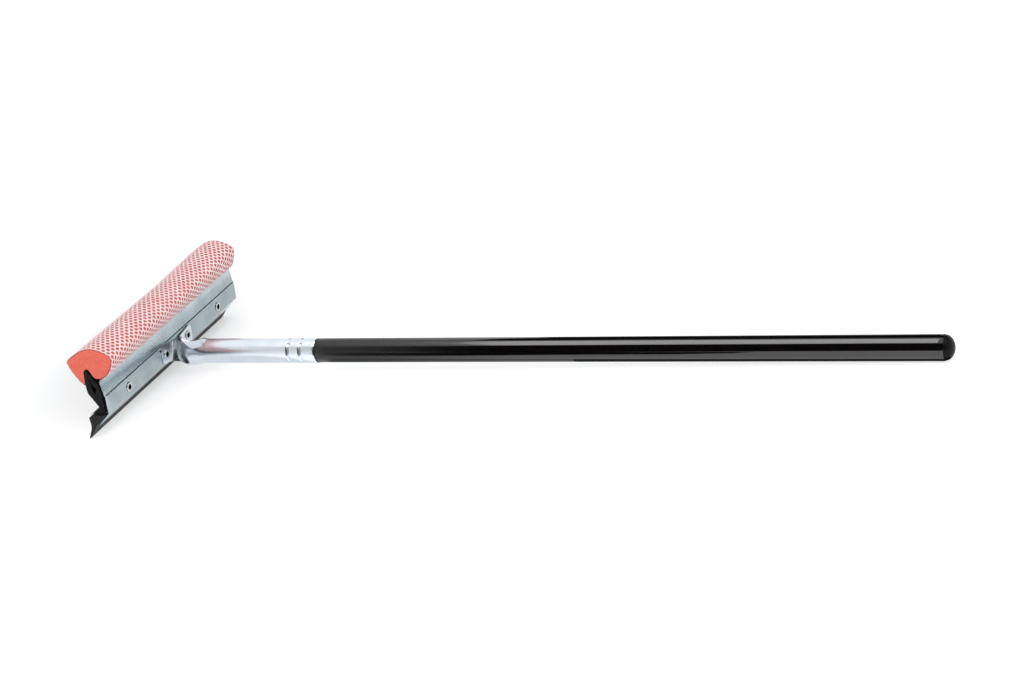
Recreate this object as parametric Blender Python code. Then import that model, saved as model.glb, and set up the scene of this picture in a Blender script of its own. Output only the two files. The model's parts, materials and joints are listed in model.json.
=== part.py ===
"""A window squeegee with a netted scrubbing sponge on a ferruled wooden handle.

The head is a stack of long pieces of one section each, so every one of them is drawn
as an outline in the XZ plane and extruded along Y. The squeegee lies as it rests on a
table: on the flat edge of its blade, whose middle is the origin, and on the end of its
handle, which points along +X. Lengths are in metres and angles in degrees.
"""

import math

import bmesh
import bpy
from mathutils import Matrix, Vector

# Fits
CLEARANCE = 0.0003
CUT_OVERRUN = 0.004

# Rivets: where they cross the back plate, measured from the blade's edge
RIVET_SETBACK = 0.0216
RIVET_HEIGHT = 0.0255
RIVET_LEAN = 5.1
INNER_RIVET_SPACING = 0.0335
OUTER_RIVET_INSET = 0.0310
RIVET_SHANK_RADIUS = 0.0026
RIVET_WALL = 0.0005
RIVET_FLANGE_WIDTH = 0.0009
RIVET_FLANGE_HEIGHT = 0.0009
RIVET_SIDES = 24
RIVET_CORNER_STEPS = 2

# Back plate: a zinc-plated strip with a lip, a rivet facet, a joggle and an upper facet
PLATE_LENGTH = 0.2032
PLATE_THICKNESS = 0.0008
PLATE_LIP_LENGTH = 0.0152
PLATE_LIP_ANGLE = 221.0
PLATE_BELOW_RIVETS = 0.0065
PLATE_ABOVE_RIVETS = 0.0076
PLATE_JOGGLE_STEP = 0.0008
PLATE_JOGGLE_HEIGHT = 0.0010
PLATE_UPPER_HEIGHT = 0.0115
PLATE_UPPER_ANGLE = 93.2
PLATE_BEND_RADIUS = 0.0009
BEND_STEPS = 4

# Blade retainer: the bent strip that holds the blade down against the back plate
RETAINER_THICKNESS = 0.0007
RETAINER_BELOW_JOGGLE = 0.0013
RETAINER_WEB_LENGTH = 0.0122
RETAINER_WEB_ANGLE = 180.0
RETAINER_LIP_LENGTH = 0.0036
RETAINER_LIP_ANGLE = 210.0
RETAINER_BEND_RADIUS = 0.0008

# Blade: the rubber wedge
BLADE_OVERHANG = 0.0035
BLADE_EDGE_WIDTH = 0.0008
BLADE_HEAD_SETBACK = 0.0022
BLADE_WAIST_SETBACK = 0.0047
BLADE_WAIST_HEIGHT = 0.0098
BLADE_TIP_SETBACK = 0.0022
BLADE_TIP_HEIGHT = 0.0044
BLADE_CURVE_STEPS = 3

# Sponge core: the folded rubber strip that the sponge sits on
CORE_OVERHANG = 0.0012
CORE_BULB_WIDTH = 0.0120
CORE_BULB_HEIGHT = 0.0297
CORE_NOTCH_DROP = 0.0009
CORE_WAIST_THICKNESS = 0.0041
CORE_TOE_SETBACK = 0.0004
CORE_CURVE_STEPS = 3
# Shares of the bulb's width, forward from its back face, and of its height above the notch
CORE_BACK_SHARES = ((0.0, 0.276), (0.017, 0.377), (0.05, 0.512), (0.10, 0.576), (0.225, 0.67),
                    (0.417, 0.785), (0.66, 0.94), (0.83, 1.0))
CORE_FRONT_SHARES = ((0.94, 0.96), (0.98, 0.76), (1.0, 0.58), (0.985, 0.47), (0.925, 0.347), (0.725, 0.232))
CORE_GAP_FRONT_SHARES = ((0.82, 0.93), (0.74, 0.815), (0.675, 0.72), (0.61, 0.62), (0.60, 0.54),
                         (0.57, 0.43), (0.44, 0.37), (0.27, 0.20))
CORE_GAP_BACK_SHARES = ((0.24, 0.20), (0.39, 0.36), (0.35, 0.43), (0.30, 0.49), (0.47, 0.60), (0.59, 0.69),
                        (0.71, 0.815))
CORE_SLIT_WIDTH = 0.0004
CORE_SLIT_DROP = 0.0022
CORE_SLIT_SHARE = 0.33

# Front bar: the flat strip that the rivets pull against the core
BAR_INSET = 0.0040
BAR_THICKNESS = 0.0010
BAR_ABOVE_RIVETS = 0.0042

# Sponge: the foam, slit along its lower side to sit over the core
SPONGE_NEAR_OVERHANG = 0.0008
SPONGE_FAR_INSET = 0.0050
SPONGE_FRONT_REACH = 0.0131
SPONGE_BACK_REACH = 0.0104
SPONGE_FRONT_DROP = 0.0043
SPONGE_TOP_RISE = 0.0257
SPONGE_CURVE_STEPS = 3
# Across: 0 at the plate's rear face, 1 at the core's front, then on by the reaches before and behind.
# Up: 0 at the plate's top, 1 at the sponge's top, -1 at its front edge.
SPONGE_SHARES = ((1.05, -1.0), (1.26, -0.79), (1.49, 0.0), (1.74, 0.195), (1.91, 0.365), (2.0, 0.49),
                 (1.93, 0.585), (1.50, 0.75), (1.02, 0.91), (0.58, 0.99), (0.28, 1.0), (-0.15, 0.96),
                 (-0.64, 0.88), (-0.96, 0.79), (-0.98, 0.67), (-0.84, 0.49), (-0.47, 0.255), (-0.12, 0.13),
                 (0.16, 0.06))
SPONGE_SLOT_SHARE = 0.015

# Net: the sleeve drawn over the sponge and caught by the rivets
NET_THICKNESS = 0.0003
NET_BELOW_RIVETS = 0.0042

# Ferrule: the zinc-plated tube, cut open at the front and spread into two riveted ears
FERRULE_RADIUS = 0.009525
FERRULE_WALL = 0.0009
FERRULE_TUBE_LENGTH = 0.0961
NOTCH_FAR_ANGLE = 60.0
NOTCH_NEAR_ANGLE = 130.0
NECK_LENGTH = 0.0222
NECK_PINCH = 0.0043
NECK_SPLAY = 23.0
NECK_BEND_REACH = 0.0052
NECK_EASE = 1.5
FAR_EDGE_RISE = 0.0006
NEAR_EDGE_RISE = 0.0026
# Shares of the neck's length where a strip's top edge is lowest and where it is up again
FAR_EDGE_SHARES = (0.85, 1.35)
NEAR_EDGE_SHARES = (0.55, 1.0)
EAR_MARGIN = 0.0064
EAR_HEIGHT = 0.0138
EAR_ROOT_RISE = 0.0052
EAR_CORNER_RADIUS = 0.0035
FAR_COLUMNS = 15
TOP_COLUMNS = 7
NEAR_COLUMNS = 14
PLAIN_ROWS = 4
NECK_ROWS = 8
BEND_ROWS = 6
EAR_ROWS = 6

# Handle: the lacquered dowel
HANDLE_RADIUS = 0.00915
HANDLE_BELOW_RIVETS = 0.0059
HANDLE_SIDE_SHIFT = 0.0016
HANDLE_GRIP_LENGTH = 0.4677
HANDLE_DOME_LENGTH = 0.0066
HANDLE_DOME_SHOULDER = 0.0004
HANDLE_SPIGOT_LENGTH = 0.0620
HANDLE_SPIGOT_CHAMFER = 0.0010
HANDLE_SIDES = 48
DOME_STEPS = 6

# Crimps: the two rolled dents that lock the ferrule to the handle
CRIMP_SETBACKS = (0.0120, 0.0224)
CRIMP_DEPTH = 0.0007
CRIMP_HALF_WIDTH = 0.0022
CRIMP_SEGMENT_SPAN = 104.0
CRIMP_SEGMENT_FADE = 14.0
CRIMP_FIRST_ANGLE = 160.0
CRIMP_COUNT = 3
CRIMP_STEPS = 3

FINISHES = {
    "zinc_plate": ((0.42, 0.46, 0.48), 0.34, 1.0),
    "zinc_bright": ((0.70, 0.74, 0.80), 0.22, 1.0),
    "zinc_rivet": ((0.62, 0.65, 0.68), 0.28, 1.0),
    "blade_rubber": ((0.020, 0.020, 0.021), 0.62, 0.0),
    "core_rubber": ((0.028, 0.029, 0.030), 0.70, 0.0),
    "foam": ((0.83, 0.16, 0.11), 0.95, 0.0),
    "netting": ((0.92, 0.78, 0.77), 0.70, 0.0),
    "black_lacquer": ((0.012, 0.012, 0.012), 0.18, 0.0),
}


def heading(degrees):
    """Unit vector in a profile plane, turned from the first axis towards the second."""
    return Vector((math.cos(math.radians(degrees)), math.sin(math.radians(degrees))))


def clear_scene():
    """Remove whatever objects the file already holds."""
    for item in list(bpy.data.objects):
        bpy.data.objects.remove(item, do_unlink=True)


def finish(name):
    """The material of one finish, made the first time it is asked for."""
    material = bpy.data.materials.get(name)
    if material is None:
        material = bpy.data.materials.new(name)
        material.use_nodes = True
        colour, roughness, metallic = FINISHES[name]
        shader = material.node_tree.nodes["Principled BSDF"]
        shader.inputs["Base Color"].default_value = (*colour, 1.0)
        shader.inputs["Roughness"].default_value = roughness
        shader.inputs["Metallic"].default_value = metallic
        material.diffuse_color = (*colour, 1.0)
    return material


def place(name, mesh, finish_name):
    """Put a mesh in the scene as a named part that lies with the tool."""
    part = bpy.data.objects.new(name, mesh)
    mesh.materials.append(finish(finish_name))
    bpy.context.collection.objects.link(part)
    part.parent = tool
    return part


def mesh_from(name, points, faces):
    """A mesh with its faces turned outwards."""
    shell = bmesh.new()
    corners = [shell.verts.new(point) for point in points]
    for face in faces:
        shell.faces.new([corners[index] for index in face])
    bmesh.ops.recalc_face_normals(shell, faces=shell.faces)
    mesh = bpy.data.meshes.new(name)
    shell.to_mesh(mesh)
    shell.free()
    return mesh


# Paths in the profile plane
def offset_path(points, distance):
    """An open path moved to its left, with its corners mitred."""
    normals = []
    for start, end in zip(points, points[1:]):
        along = (end - start).normalized()
        normals.append(Vector((-along.y, along.x)))
    moved = []
    for index, point in enumerate(points):
        before = normals[max(index - 1, 0)]
        after = normals[min(index, len(normals) - 1)]
        moved.append(point + (before + after) * distance / (1 + before.dot(after)))
    return moved


def rounded_path(points, radius):
    """An open path with each inner corner turned into an arc."""
    path = [points[0]]
    for before, corner, after in zip(points, points[1:], points[2:]):
        back = (before - corner).normalized()
        ahead = (after - corner).normalized()
        half_angle = back.angle(ahead) / 2
        reach = radius / math.tan(half_angle)
        centre = corner + (back + ahead).normalized() * radius / math.sin(half_angle)
        first = corner + back * reach - centre
        last = corner + ahead * reach - centre
        turn = first.angle_signed(last)
        for step in range(BEND_STEPS + 1):
            swing = -turn * step / BEND_STEPS
            path.append(centre + Matrix.Rotation(swing, 2) @ first)
    path.append(points[-1])
    return path


def smooth_path(points, steps):
    """An open curve that passes through all of its points."""
    path = []
    last = len(points) - 1
    for index in range(last):
        before, start = points[max(index - 1, 0)], points[index]
        end, after = points[index + 1], points[min(index + 2, last)]
        for step in range(steps):
            share = step / steps
            leave = (end - before) / 2
            arrive = (after - start) / 2
            path.append(start
                        + leave * (share - 2 * share ** 2 + share ** 3)
                        + (end - start) * (3 * share ** 2 - 2 * share ** 3)
                        + arrive * (share ** 3 - share ** 2))
    path.append(points[last])
    return path


def strip_outline(path, thickness):
    """The closed outline of a strip whose one side is the path and whose body is to its left."""
    return path + offset_path(path, thickness)[::-1]


def bent_outline(path, thickness, bend_radius):
    """The outline of a bent sheet to the left of a path; the bend radius is its middle's."""
    middle = rounded_path(offset_path(path, thickness / 2), bend_radius)
    return strip_outline(offset_path(middle, -thickness / 2), thickness)


def extrusion(name, outline, length, shift, finish_name):
    """A solid of one section, extruded along Y and centred on it but for its shift."""
    count = len(outline)
    points = [(point.x, shift + side * length / 2, point.y) for side in (-1, 1) for point in outline]
    faces = [list(range(count)), list(range(2 * count - 1, count - 1, -1))]
    for index in range(count):
        ahead = (index + 1) % count
        faces.append([index, index + count, ahead + count, ahead])
    part = place(name, mesh_from(name, points, faces), finish_name)
    part.data.shade_smooth()
    part.data.set_sharp_from_angle(angle=math.radians(30))
    return part


def turned_ring(name, profile, sides, finish_name):
    """A ring turned about its own X axis from a closed profile of (along, radius)."""
    points, faces = [], []
    for side in range(sides):
        swing = 2 * math.pi * side / sides
        points += [(point.x, point.y * math.cos(swing), point.y * math.sin(swing)) for point in profile]
    count = len(profile)
    for side in range(sides):
        for index in range(count):
            ahead, beside = (index + 1) % count, (side + 1) % sides
            faces.append([side * count + index, side * count + ahead,
                          beside * count + ahead, beside * count + index])
    part = place(name, mesh_from(name, points, faces), finish_name)
    part.data.shade_smooth()
    part.data.set_sharp_from_angle(angle=math.radians(40))
    return part


def cut(part, cutter):
    """Take a cutter's space out of a part."""
    modifier = part.modifiers.new(cutter.name, "BOOLEAN")
    modifier.operation = "DIFFERENCE"
    modifier.object = cutter


def as_cutter(part):
    """Keep an object as a tool for cutting and out of the model."""
    part.hide_render = True
    part.display_type = "WIRE"
    return part


# Where things sit across the head
def stacked(depth, rise):
    """A point at a depth in front of the back plate's rear face and a rise above the rivets."""
    return (Vector((RIVET_SETBACK, RIVET_HEIGHT))
            + heading(180 - RIVET_LEAN) * depth + heading(90 - RIVET_LEAN) * rise)


def depth_of(point):
    """How far a point lies in front of the back plate's rear face."""
    return (point - stacked(0, 0)).dot(LEAN_FORWARD)


def rise_of(point):
    """How far a point lies above the rivets, along the plate."""
    return (point - stacked(0, 0)).dot(LEAN_UP)


def bulb_point(shares):
    """A point of the core's bulb from its shares of width and height."""
    return stacked(CORE_DEPTH + CORE_BULB_WIDTH * shares[0], CORE_BULB_HEIGHT * shares[1] - CORE_NOTCH_DROP)


def plate_top_rise():
    """How far the back plate reaches above the rivets."""
    return rise_of(plate_path()[-1])


def sponge_point(shares):
    """A point of the sponge's outer curve from its shares across and up."""
    across, up = shares
    depth = min(max(across, 0), 1) * CORE_FRONT_DEPTH
    depth += max(across - 1, 0) * SPONGE_FRONT_REACH + min(across, 0) * SPONGE_BACK_REACH
    rise = plate_top_rise() + max(up, 0) * SPONGE_TOP_RISE + min(up, 0) * SPONGE_FRONT_DROP
    return stacked(depth, rise)


def crossing(start, direction, other, other_direction):
    """Where two lines of the profile plane meet."""
    across = direction.x * other_direction.y - direction.y * other_direction.x
    between = other - start
    reach = (between.x * other_direction.y - between.y * other_direction.x) / across
    return start + direction * reach


# Depths of the pieces in the riveted stack, from the back plate's rear face forwards
RETAINER_DEPTH = PLATE_THICKNESS + CLEARANCE
NET_DEPTH = RETAINER_DEPTH + RETAINER_THICKNESS + CLEARANCE
CORE_DEPTH = NET_DEPTH + NET_THICKNESS + CLEARANCE
FRONT_NET_DEPTH = CORE_DEPTH + CORE_WAIST_THICKNESS + CLEARANCE
BAR_DEPTH = FRONT_NET_DEPTH + NET_THICKNESS + CLEARANCE
STACK_DEPTH = BAR_DEPTH + BAR_THICKNESS
CORE_FRONT_DEPTH = CORE_DEPTH + CORE_BULB_WIDTH

# Lengths along the head
BAR_LENGTH = PLATE_LENGTH - 2 * BAR_INSET
SPONGE_LENGTH = PLATE_LENGTH + SPONGE_NEAR_OVERHANG - SPONGE_FAR_INSET
SPONGE_SHIFT = -(SPONGE_NEAR_OVERHANG + SPONGE_FAR_INSET) / 2

# Places along and across the handle
HANDLE_AXIS_HEIGHT = RIVET_HEIGHT - HANDLE_BELOW_RIVETS
EAR_FACE = RIVET_SETBACK + CLEARANCE + FERRULE_WALL
NECK_END = EAR_FACE + NECK_BEND_REACH
FERRULE_NOTCH = NECK_END + NECK_LENGTH
FERRULE_END = FERRULE_NOTCH + FERRULE_TUBE_LENGTH
HANDLE_CYLINDER_END = FERRULE_END + CLEARANCE + HANDLE_GRIP_LENGTH
REST_TILT = math.atan2(HANDLE_AXIS_HEIGHT - HANDLE_RADIUS, HANDLE_CYLINDER_END)

# Name, middle and spacing of each pair of rivets
RIVET_ROWS = (("inner", HANDLE_SIDE_SHIFT, INNER_RIVET_SPACING),
              ("outer", 0, PLATE_LENGTH - 2 * OUTER_RIVET_INSET))

LEAN_UP = heading(90 - RIVET_LEAN)
LEAN_FORWARD = heading(180 - RIVET_LEAN)


def plate_path():
    """The back plate's rear face, from the end of its lip to its top."""
    bend = stacked(0, -PLATE_BELOW_RIVETS)
    joggle_top = stacked(PLATE_JOGGLE_STEP, PLATE_ABOVE_RIVETS + PLATE_JOGGLE_HEIGHT)
    return [bend + heading(PLATE_LIP_ANGLE) * PLATE_LIP_LENGTH,
            bend,
            stacked(0, PLATE_ABOVE_RIVETS),
            joggle_top,
            joggle_top + heading(PLATE_UPPER_ANGLE) * PLATE_UPPER_HEIGHT]


def retainer_path():
    """The retainer's rear and under face, from its front lip to the top of its flange."""
    corner = offset_path(plate_path(), RETAINER_DEPTH)[1]
    front = corner + heading(RETAINER_WEB_ANGLE) * RETAINER_WEB_LENGTH
    return [front + heading(RETAINER_LIP_ANGLE) * RETAINER_LIP_LENGTH,
            front,
            corner,
            stacked(RETAINER_DEPTH, PLATE_ABOVE_RIVETS - RETAINER_BELOW_JOGGLE)]


def web_top():
    """A point of the retainer web's upper face and the web's direction."""
    return offset_path(retainer_path(), RETAINER_THICKNESS)[1], heading(RETAINER_WEB_ANGLE)


def on_web(point, direction):
    """Where a line reaches the surface just above the retainer's web."""
    start, along = web_top()
    seat = start + heading(RETAINER_WEB_ANGLE - 90) * CLEARANCE
    return crossing(point, direction, seat, along)


def rivet_frame(side_shift):
    """The pose of a rivet: X along its axis, out of the back plate."""
    spot = Matrix.Translation((RIVET_SETBACK, side_shift, RIVET_HEIGHT))
    return spot @ Matrix.Rotation(math.radians(RIVET_LEAN), 4, "Y")


# The pieces
def build_rivet_holes():
    """One cutter for each rivet, through the whole stack."""
    holes = {}
    for key, middle, spacing in RIVET_ROWS:
        for end, side in (("near", -1), ("far", 1)):
            drill = bmesh.new()
            bmesh.ops.create_cone(drill, cap_ends=True, segments=RIVET_SIDES,
                                  radius1=RIVET_SHANK_RADIUS + CLEARANCE,
                                  radius2=RIVET_SHANK_RADIUS + CLEARANCE,
                                  depth=2 * (STACK_DEPTH + CUT_OVERRUN),
                                  matrix=Matrix.Rotation(math.pi / 2, 4, "Y"))
            mesh = bpy.data.meshes.new("rivet_hole")
            drill.to_mesh(mesh)
            drill.free()
            hole = as_cutter(place(f"rivet_hole_{key}_{end}", mesh, "zinc_rivet"))
            hole.matrix_local = rivet_frame(middle + side * spacing / 2)
            holes[key, end] = hole
    return holes


def rivet_profile(back_reach):
    """A tubular rivet's section, with a rounded flange turned over at each end."""
    back_face = back_reach + CLEARANCE
    front_face = -STACK_DEPTH - CLEARANCE
    rim = RIVET_FLANGE_HEIGHT / 2
    outer_rim = RIVET_SHANK_RADIUS + RIVET_FLANGE_WIDTH - rim
    inner_rim = RIVET_SHANK_RADIUS - RIVET_WALL + rim
    profile = []
    for face, outward in ((back_face, 1), (front_face, -1)):
        centre_out = Vector((face + outward * rim, outer_rim))
        centre_in = Vector((face + outward * rim, inner_rim))
        bend = [Vector((face, RIVET_SHANK_RADIUS)), Vector((face, centre_out.y))]
        for step in range(1, 2 * RIVET_CORNER_STEPS + 1):
            swing = -90 + 90 * step / RIVET_CORNER_STEPS
            bend.append(centre_out + Vector((outward * heading(swing).y * rim, heading(swing).x * rim)))
        for step in range(1, RIVET_CORNER_STEPS + 1):
            swing = 90 + 90 * step / RIVET_CORNER_STEPS
            bend.append(centre_in + Vector((outward * heading(swing).y * rim, heading(swing).x * rim)))
        profile += bend if outward == 1 else bend[::-1]
    return profile


def build_rivets():
    """The four tubular rivets; the inner two also hold the ferrule's ears."""
    for key, middle, spacing in RIVET_ROWS:
        reach = CLEARANCE + FERRULE_WALL if key == "inner" else 0
        for end, side in (("near", -1), ("far", 1)):
            rivet = turned_ring(f"rivet_{key}_{end}", rivet_profile(reach), RIVET_SIDES, "zinc_rivet")
            rivet.matrix_local = rivet_frame(middle + side * spacing / 2)


def build_back_plate(holes):
    """The zinc-plated plate that the rivets and the ferrule hold on to."""
    outline = bent_outline(plate_path(), PLATE_THICKNESS, PLATE_BEND_RADIUS)
    plate = extrusion("back_plate", outline, PLATE_LENGTH, 0, "zinc_plate")
    for hole in holes.values():
        cut(plate, hole)


def build_retainer(holes):
    """The bent strip inside the head: a flange on the plate, a web and a lip over the blade."""
    outline = bent_outline(retainer_path(), RETAINER_THICKNESS, RETAINER_BEND_RADIUS)
    retainer = extrusion("blade_retainer", outline, PLATE_LENGTH, 0, "zinc_plate")
    for hole in holes.values():
        cut(retainer, hole)


def build_blade():
    """The rubber wedge between the retainer's web and the plate's lip."""
    seat = offset_path(retainer_path(), -CLEARANCE)
    under_web = seat[2] + heading(RETAINER_WEB_ANGLE) * BLADE_HEAD_SETBACK
    on_lip = offset_path(plate_path(), RETAINER_DEPTH)[0]
    edge = Vector((0, 0))
    front = smooth_path([seat[0],
                         Vector((BLADE_WAIST_SETBACK, BLADE_WAIST_HEIGHT)),
                         Vector((BLADE_TIP_SETBACK, BLADE_TIP_HEIGHT)),
                         edge], BLADE_CURVE_STEPS)
    outline = [edge + heading(math.degrees(REST_TILT)) * BLADE_EDGE_WIDTH,
               on_lip,
               crossing(on_lip, heading(PLATE_LIP_ANGLE), under_web, heading(270)),
               under_web,
               seat[1]]
    extrusion("blade", outline + front, PLATE_LENGTH + 2 * BLADE_OVERHANG, 0, "blade_rubber")


def behind_core(rise):
    """How far back the core can reach at a rise, in front of the net on the plate."""
    room = offset_path(plate_path(), PLATE_THICKNESS + NET_THICKNESS + 2 * CLEARANCE)
    for low, high in zip(room[2:], room[3:]):
        if rise_of(low) < rise <= rise_of(high):
            share = (rise - rise_of(low)) / (rise_of(high) - rise_of(low))
            return depth_of(low) + (depth_of(high) - depth_of(low)) * share
    return CORE_DEPTH


def core_curves():
    """The bulb's back curve, from the waist to the tip, and its front curve down to the flank."""
    points = [bulb_point(shares) for shares in CORE_BACK_SHARES + CORE_FRONT_SHARES]
    curve = smooth_path(points, CORE_CURVE_STEPS)
    tip = (len(CORE_BACK_SHARES) - 1) * CORE_CURVE_STEPS
    back = [stacked(max(depth_of(point), behind_core(rise_of(point))), rise_of(point))
            for point in curve[:tip]]
    return back + [curve[tip]], curve[tip:]


def core_notch():
    """The corner of the groove along the core's front."""
    return stacked(CORE_DEPTH + CORE_WAIST_THICKNESS, -CORE_NOTCH_DROP)


def channel_top():
    """How far above the rivets the core is cut back for the bar and the net's edge."""
    return BAR_ABOVE_RIVETS + 2 * CLEARANCE + NET_THICKNESS


def front_channel(name, length, shift):
    """A cutter over the front of the core's waist, from below the web up to the channel's top."""
    depth = CORE_DEPTH + CORE_WAIST_THICKNESS
    reach = LEAN_FORWARD * (CORE_BULB_WIDTH + CUT_OVERRUN)
    top = stacked(depth, channel_top())
    low = on_web(top, -LEAN_UP) - LEAN_UP * CUT_OVERRUN
    return as_cutter(extrusion(name, [low, top, top + reach, low + reach], length, shift, "core_rubber"))


def build_core(holes):
    """The folded rubber strip: a hollow bulb above a waist, with a foot on the web."""
    back, front = core_curves()
    notch = core_notch()
    heel = on_web(stacked(CORE_DEPTH, 0), -LEAN_UP)
    toe = on_web(web_top()[0] - heading(RETAINER_WEB_ANGLE) * CORE_TOE_SETBACK, LEAN_UP)
    length = PLATE_LENGTH + 2 * CORE_OVERHANG
    core = extrusion("sponge_core", [heel] + back + front[1:] + [notch, toe], length, 0, "core_rubber")
    slit_end = stacked(CORE_DEPTH + CORE_WAIST_THICKNESS * CORE_SLIT_SHARE, -CORE_NOTCH_DROP - CORE_SLIT_DROP)
    outline = [bulb_point(shares) for shares in CORE_GAP_FRONT_SHARES]
    outline += [slit_end, slit_end - LEAN_FORWARD * CORE_SLIT_WIDTH]
    outline += [bulb_point(shares) for shares in CORE_GAP_BACK_SHARES]
    gap = extrusion("core_gap", outline, length + 2 * CUT_OVERRUN, 0, "core_rubber")
    cut(core, as_cutter(gap))
    cut(core, front_channel("bar_channel", BAR_LENGTH + 2 * CLEARANCE, 0))
    for hole in holes.values():
        cut(core, hole)


def build_front_bar(holes):
    """The flat strip in front of the core, standing on the retainer's web."""
    foot = on_web(stacked(BAR_DEPTH, 0), -LEAN_UP)
    outline = [foot, stacked(BAR_DEPTH, BAR_ABOVE_RIVETS), stacked(STACK_DEPTH, BAR_ABOVE_RIVETS),
               on_web(stacked(STACK_DEPTH, 0), -LEAN_UP)]
    bar = extrusion("front_bar", outline, BAR_LENGTH, 0, "zinc_plate")
    for hole in holes.values():
        cut(bar, hole)


def sponge_curve():
    """The sponge's outer curve, from its front edge over the top to its back edge."""
    return smooth_path([sponge_point(shares) for shares in SPONGE_SHARES], SPONGE_CURVE_STEPS)


def build_sponge():
    """The foam, with a slot that fits over the core's bulb."""
    back, front = core_curves()
    slot = offset_path(back + front[1:], -CLEARANCE)
    tip = len(back) - 1
    back_rise = rise_of(sponge_point((0, SPONGE_SLOT_SHARE)))
    front_rise = rise_of(sponge_point((0, -1)))
    kept = [point for index, point in enumerate(slot)
            if rise_of(point) > (back_rise if index < tip else front_rise)]
    extrusion("sponge", sponge_curve() + kept, SPONGE_LENGTH, SPONGE_SHIFT, "foam")


def net_path():
    """The net's inner face, from its back edge over the sponge to its front edge."""
    along_plate = offset_path(plate_path(), PLATE_THICKNESS + CLEARANCE + NET_THICKNESS)
    back_face = NET_DEPTH + NET_THICKNESS
    tail = [stacked(back_face, -NET_BELOW_RIVETS), stacked(back_face, rise_of(retainer_path()[-1])),
            *along_plate[3:]]
    around = offset_path(sponge_curve()[::-1], -CLEARANCE)
    back, front = core_curves()
    flank = offset_path(front, -CLEARANCE)
    fold = channel_top() - CLEARANCE
    down = [point for point in flank if fold + NET_THICKNESS < rise_of(point) < rise_of(around[-1])]
    leave = crossing(down[-1], down[-1] - down[-2], stacked(0, fold), LEAN_FORWARD)
    front_tail = [leave, stacked(FRONT_NET_DEPTH, fold), stacked(FRONT_NET_DEPTH, -NET_BELOW_RIVETS)]
    return tail + around + down + front_tail


def build_net(holes):
    """The sleeve around the sponge, its two edges caught in the riveted stack."""
    outline = strip_outline(net_path(), -NET_THICKNESS)
    net = extrusion("net_sleeve", outline, SPONGE_LENGTH, SPONGE_SHIFT, "netting")
    for end, side in (("near", -1), ("far", 1)):
        cut(net, front_channel(f"net_trim_{end}", BAR_LENGTH, side * BAR_LENGTH))
    for hole in holes.values():
        cut(net, hole)


def crimp_window(angle):
    """How deep a crimp is at an angle around the tube, from 0 to 1."""
    pitch = 360 / CRIMP_COUNT
    away = abs((angle - CRIMP_FIRST_ANGLE + pitch / 2) % pitch - pitch / 2)
    share = (CRIMP_SEGMENT_SPAN / 2 - away) / CRIMP_SEGMENT_FADE
    return min(max(share, 0), 1)


def crimp_bell(along):
    """A crimp's section: 1 at its middle, falling smoothly to 0 at its half width."""
    share = min(abs(along) / CRIMP_HALF_WIDTH, 1)
    return (1 + math.cos(math.pi * share)) / 2


def crimp_stations():
    """Places along the tube where a crimp's section needs a row of points, from its end forwards."""
    stations = []
    for setback in CRIMP_SETBACKS:
        for step in range(2 * CRIMP_STEPS + 1):
            stations.append(FERRULE_END - setback + CRIMP_HALF_WIDTH * (1 - step / CRIMP_STEPS))
    return stations


def pressed_at(along):
    """How far the crimps reach in at a place along the tube, at their deepest."""
    return sum(CRIMP_DEPTH * crimp_bell(along - FERRULE_END + setback) for setback in CRIMP_SETBACKS)


def crimp_depth(along, angle):
    """How far the tube is pressed in at a place."""
    return crimp_window(angle) * pressed_at(along)


def eased(share):
    """A share from 0 to 1 that starts and ends softly."""
    share = min(max(share, 0), 1)
    return share * share * (3 - 2 * share)


def strip_stations():
    """The stations of one strip of the opened tube, from the notch to the tip of its ear.

    Each is (travel, place, outward): how far along the strip it is, and a point of the
    strip's outer face and that face's normal, both in the XY plane, for the far strip.
    """
    pinch = math.degrees(math.atan(NECK_EASE * NECK_PINCH / NECK_LENGTH))
    bend_radius = NECK_BEND_REACH / (1 + math.sin(math.radians(pinch)))
    bend_centre = Vector((EAR_FACE + bend_radius,
                          FERRULE_RADIUS - NECK_PINCH + bend_radius * math.cos(math.radians(pinch))))
    bend_length = bend_radius * math.radians(90 + pinch)
    ear_length = INNER_RIVET_SPACING / 2 + EAR_MARGIN - bend_centre.y
    stations = []
    for row in range(1, NECK_ROWS + 1):
        share = row / NECK_ROWS
        slope = math.degrees(math.atan(NECK_EASE * NECK_PINCH / NECK_LENGTH * share ** (NECK_EASE - 1)))
        spot = Vector((FERRULE_NOTCH - NECK_LENGTH * share, FERRULE_RADIUS - NECK_PINCH * share ** NECK_EASE))
        stations.append((NECK_LENGTH * share, spot, heading(90 + slope)))
    for row in range(1, BEND_ROWS + 1):
        share = row / BEND_ROWS
        outward = heading((90 + pinch) * (1 - share))
        stations.append((NECK_LENGTH + bend_length * share, bend_centre - outward * bend_radius, outward))
    for row in range(1, EAR_ROWS + 1):
        travel = ear_length * math.sin(math.radians(90 * row / EAR_ROWS))
        stations.append((NECK_LENGTH + bend_length + travel,
                         Vector((EAR_FACE, bend_centre.y + travel)), Vector((1, 0))))
    return stations


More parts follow.
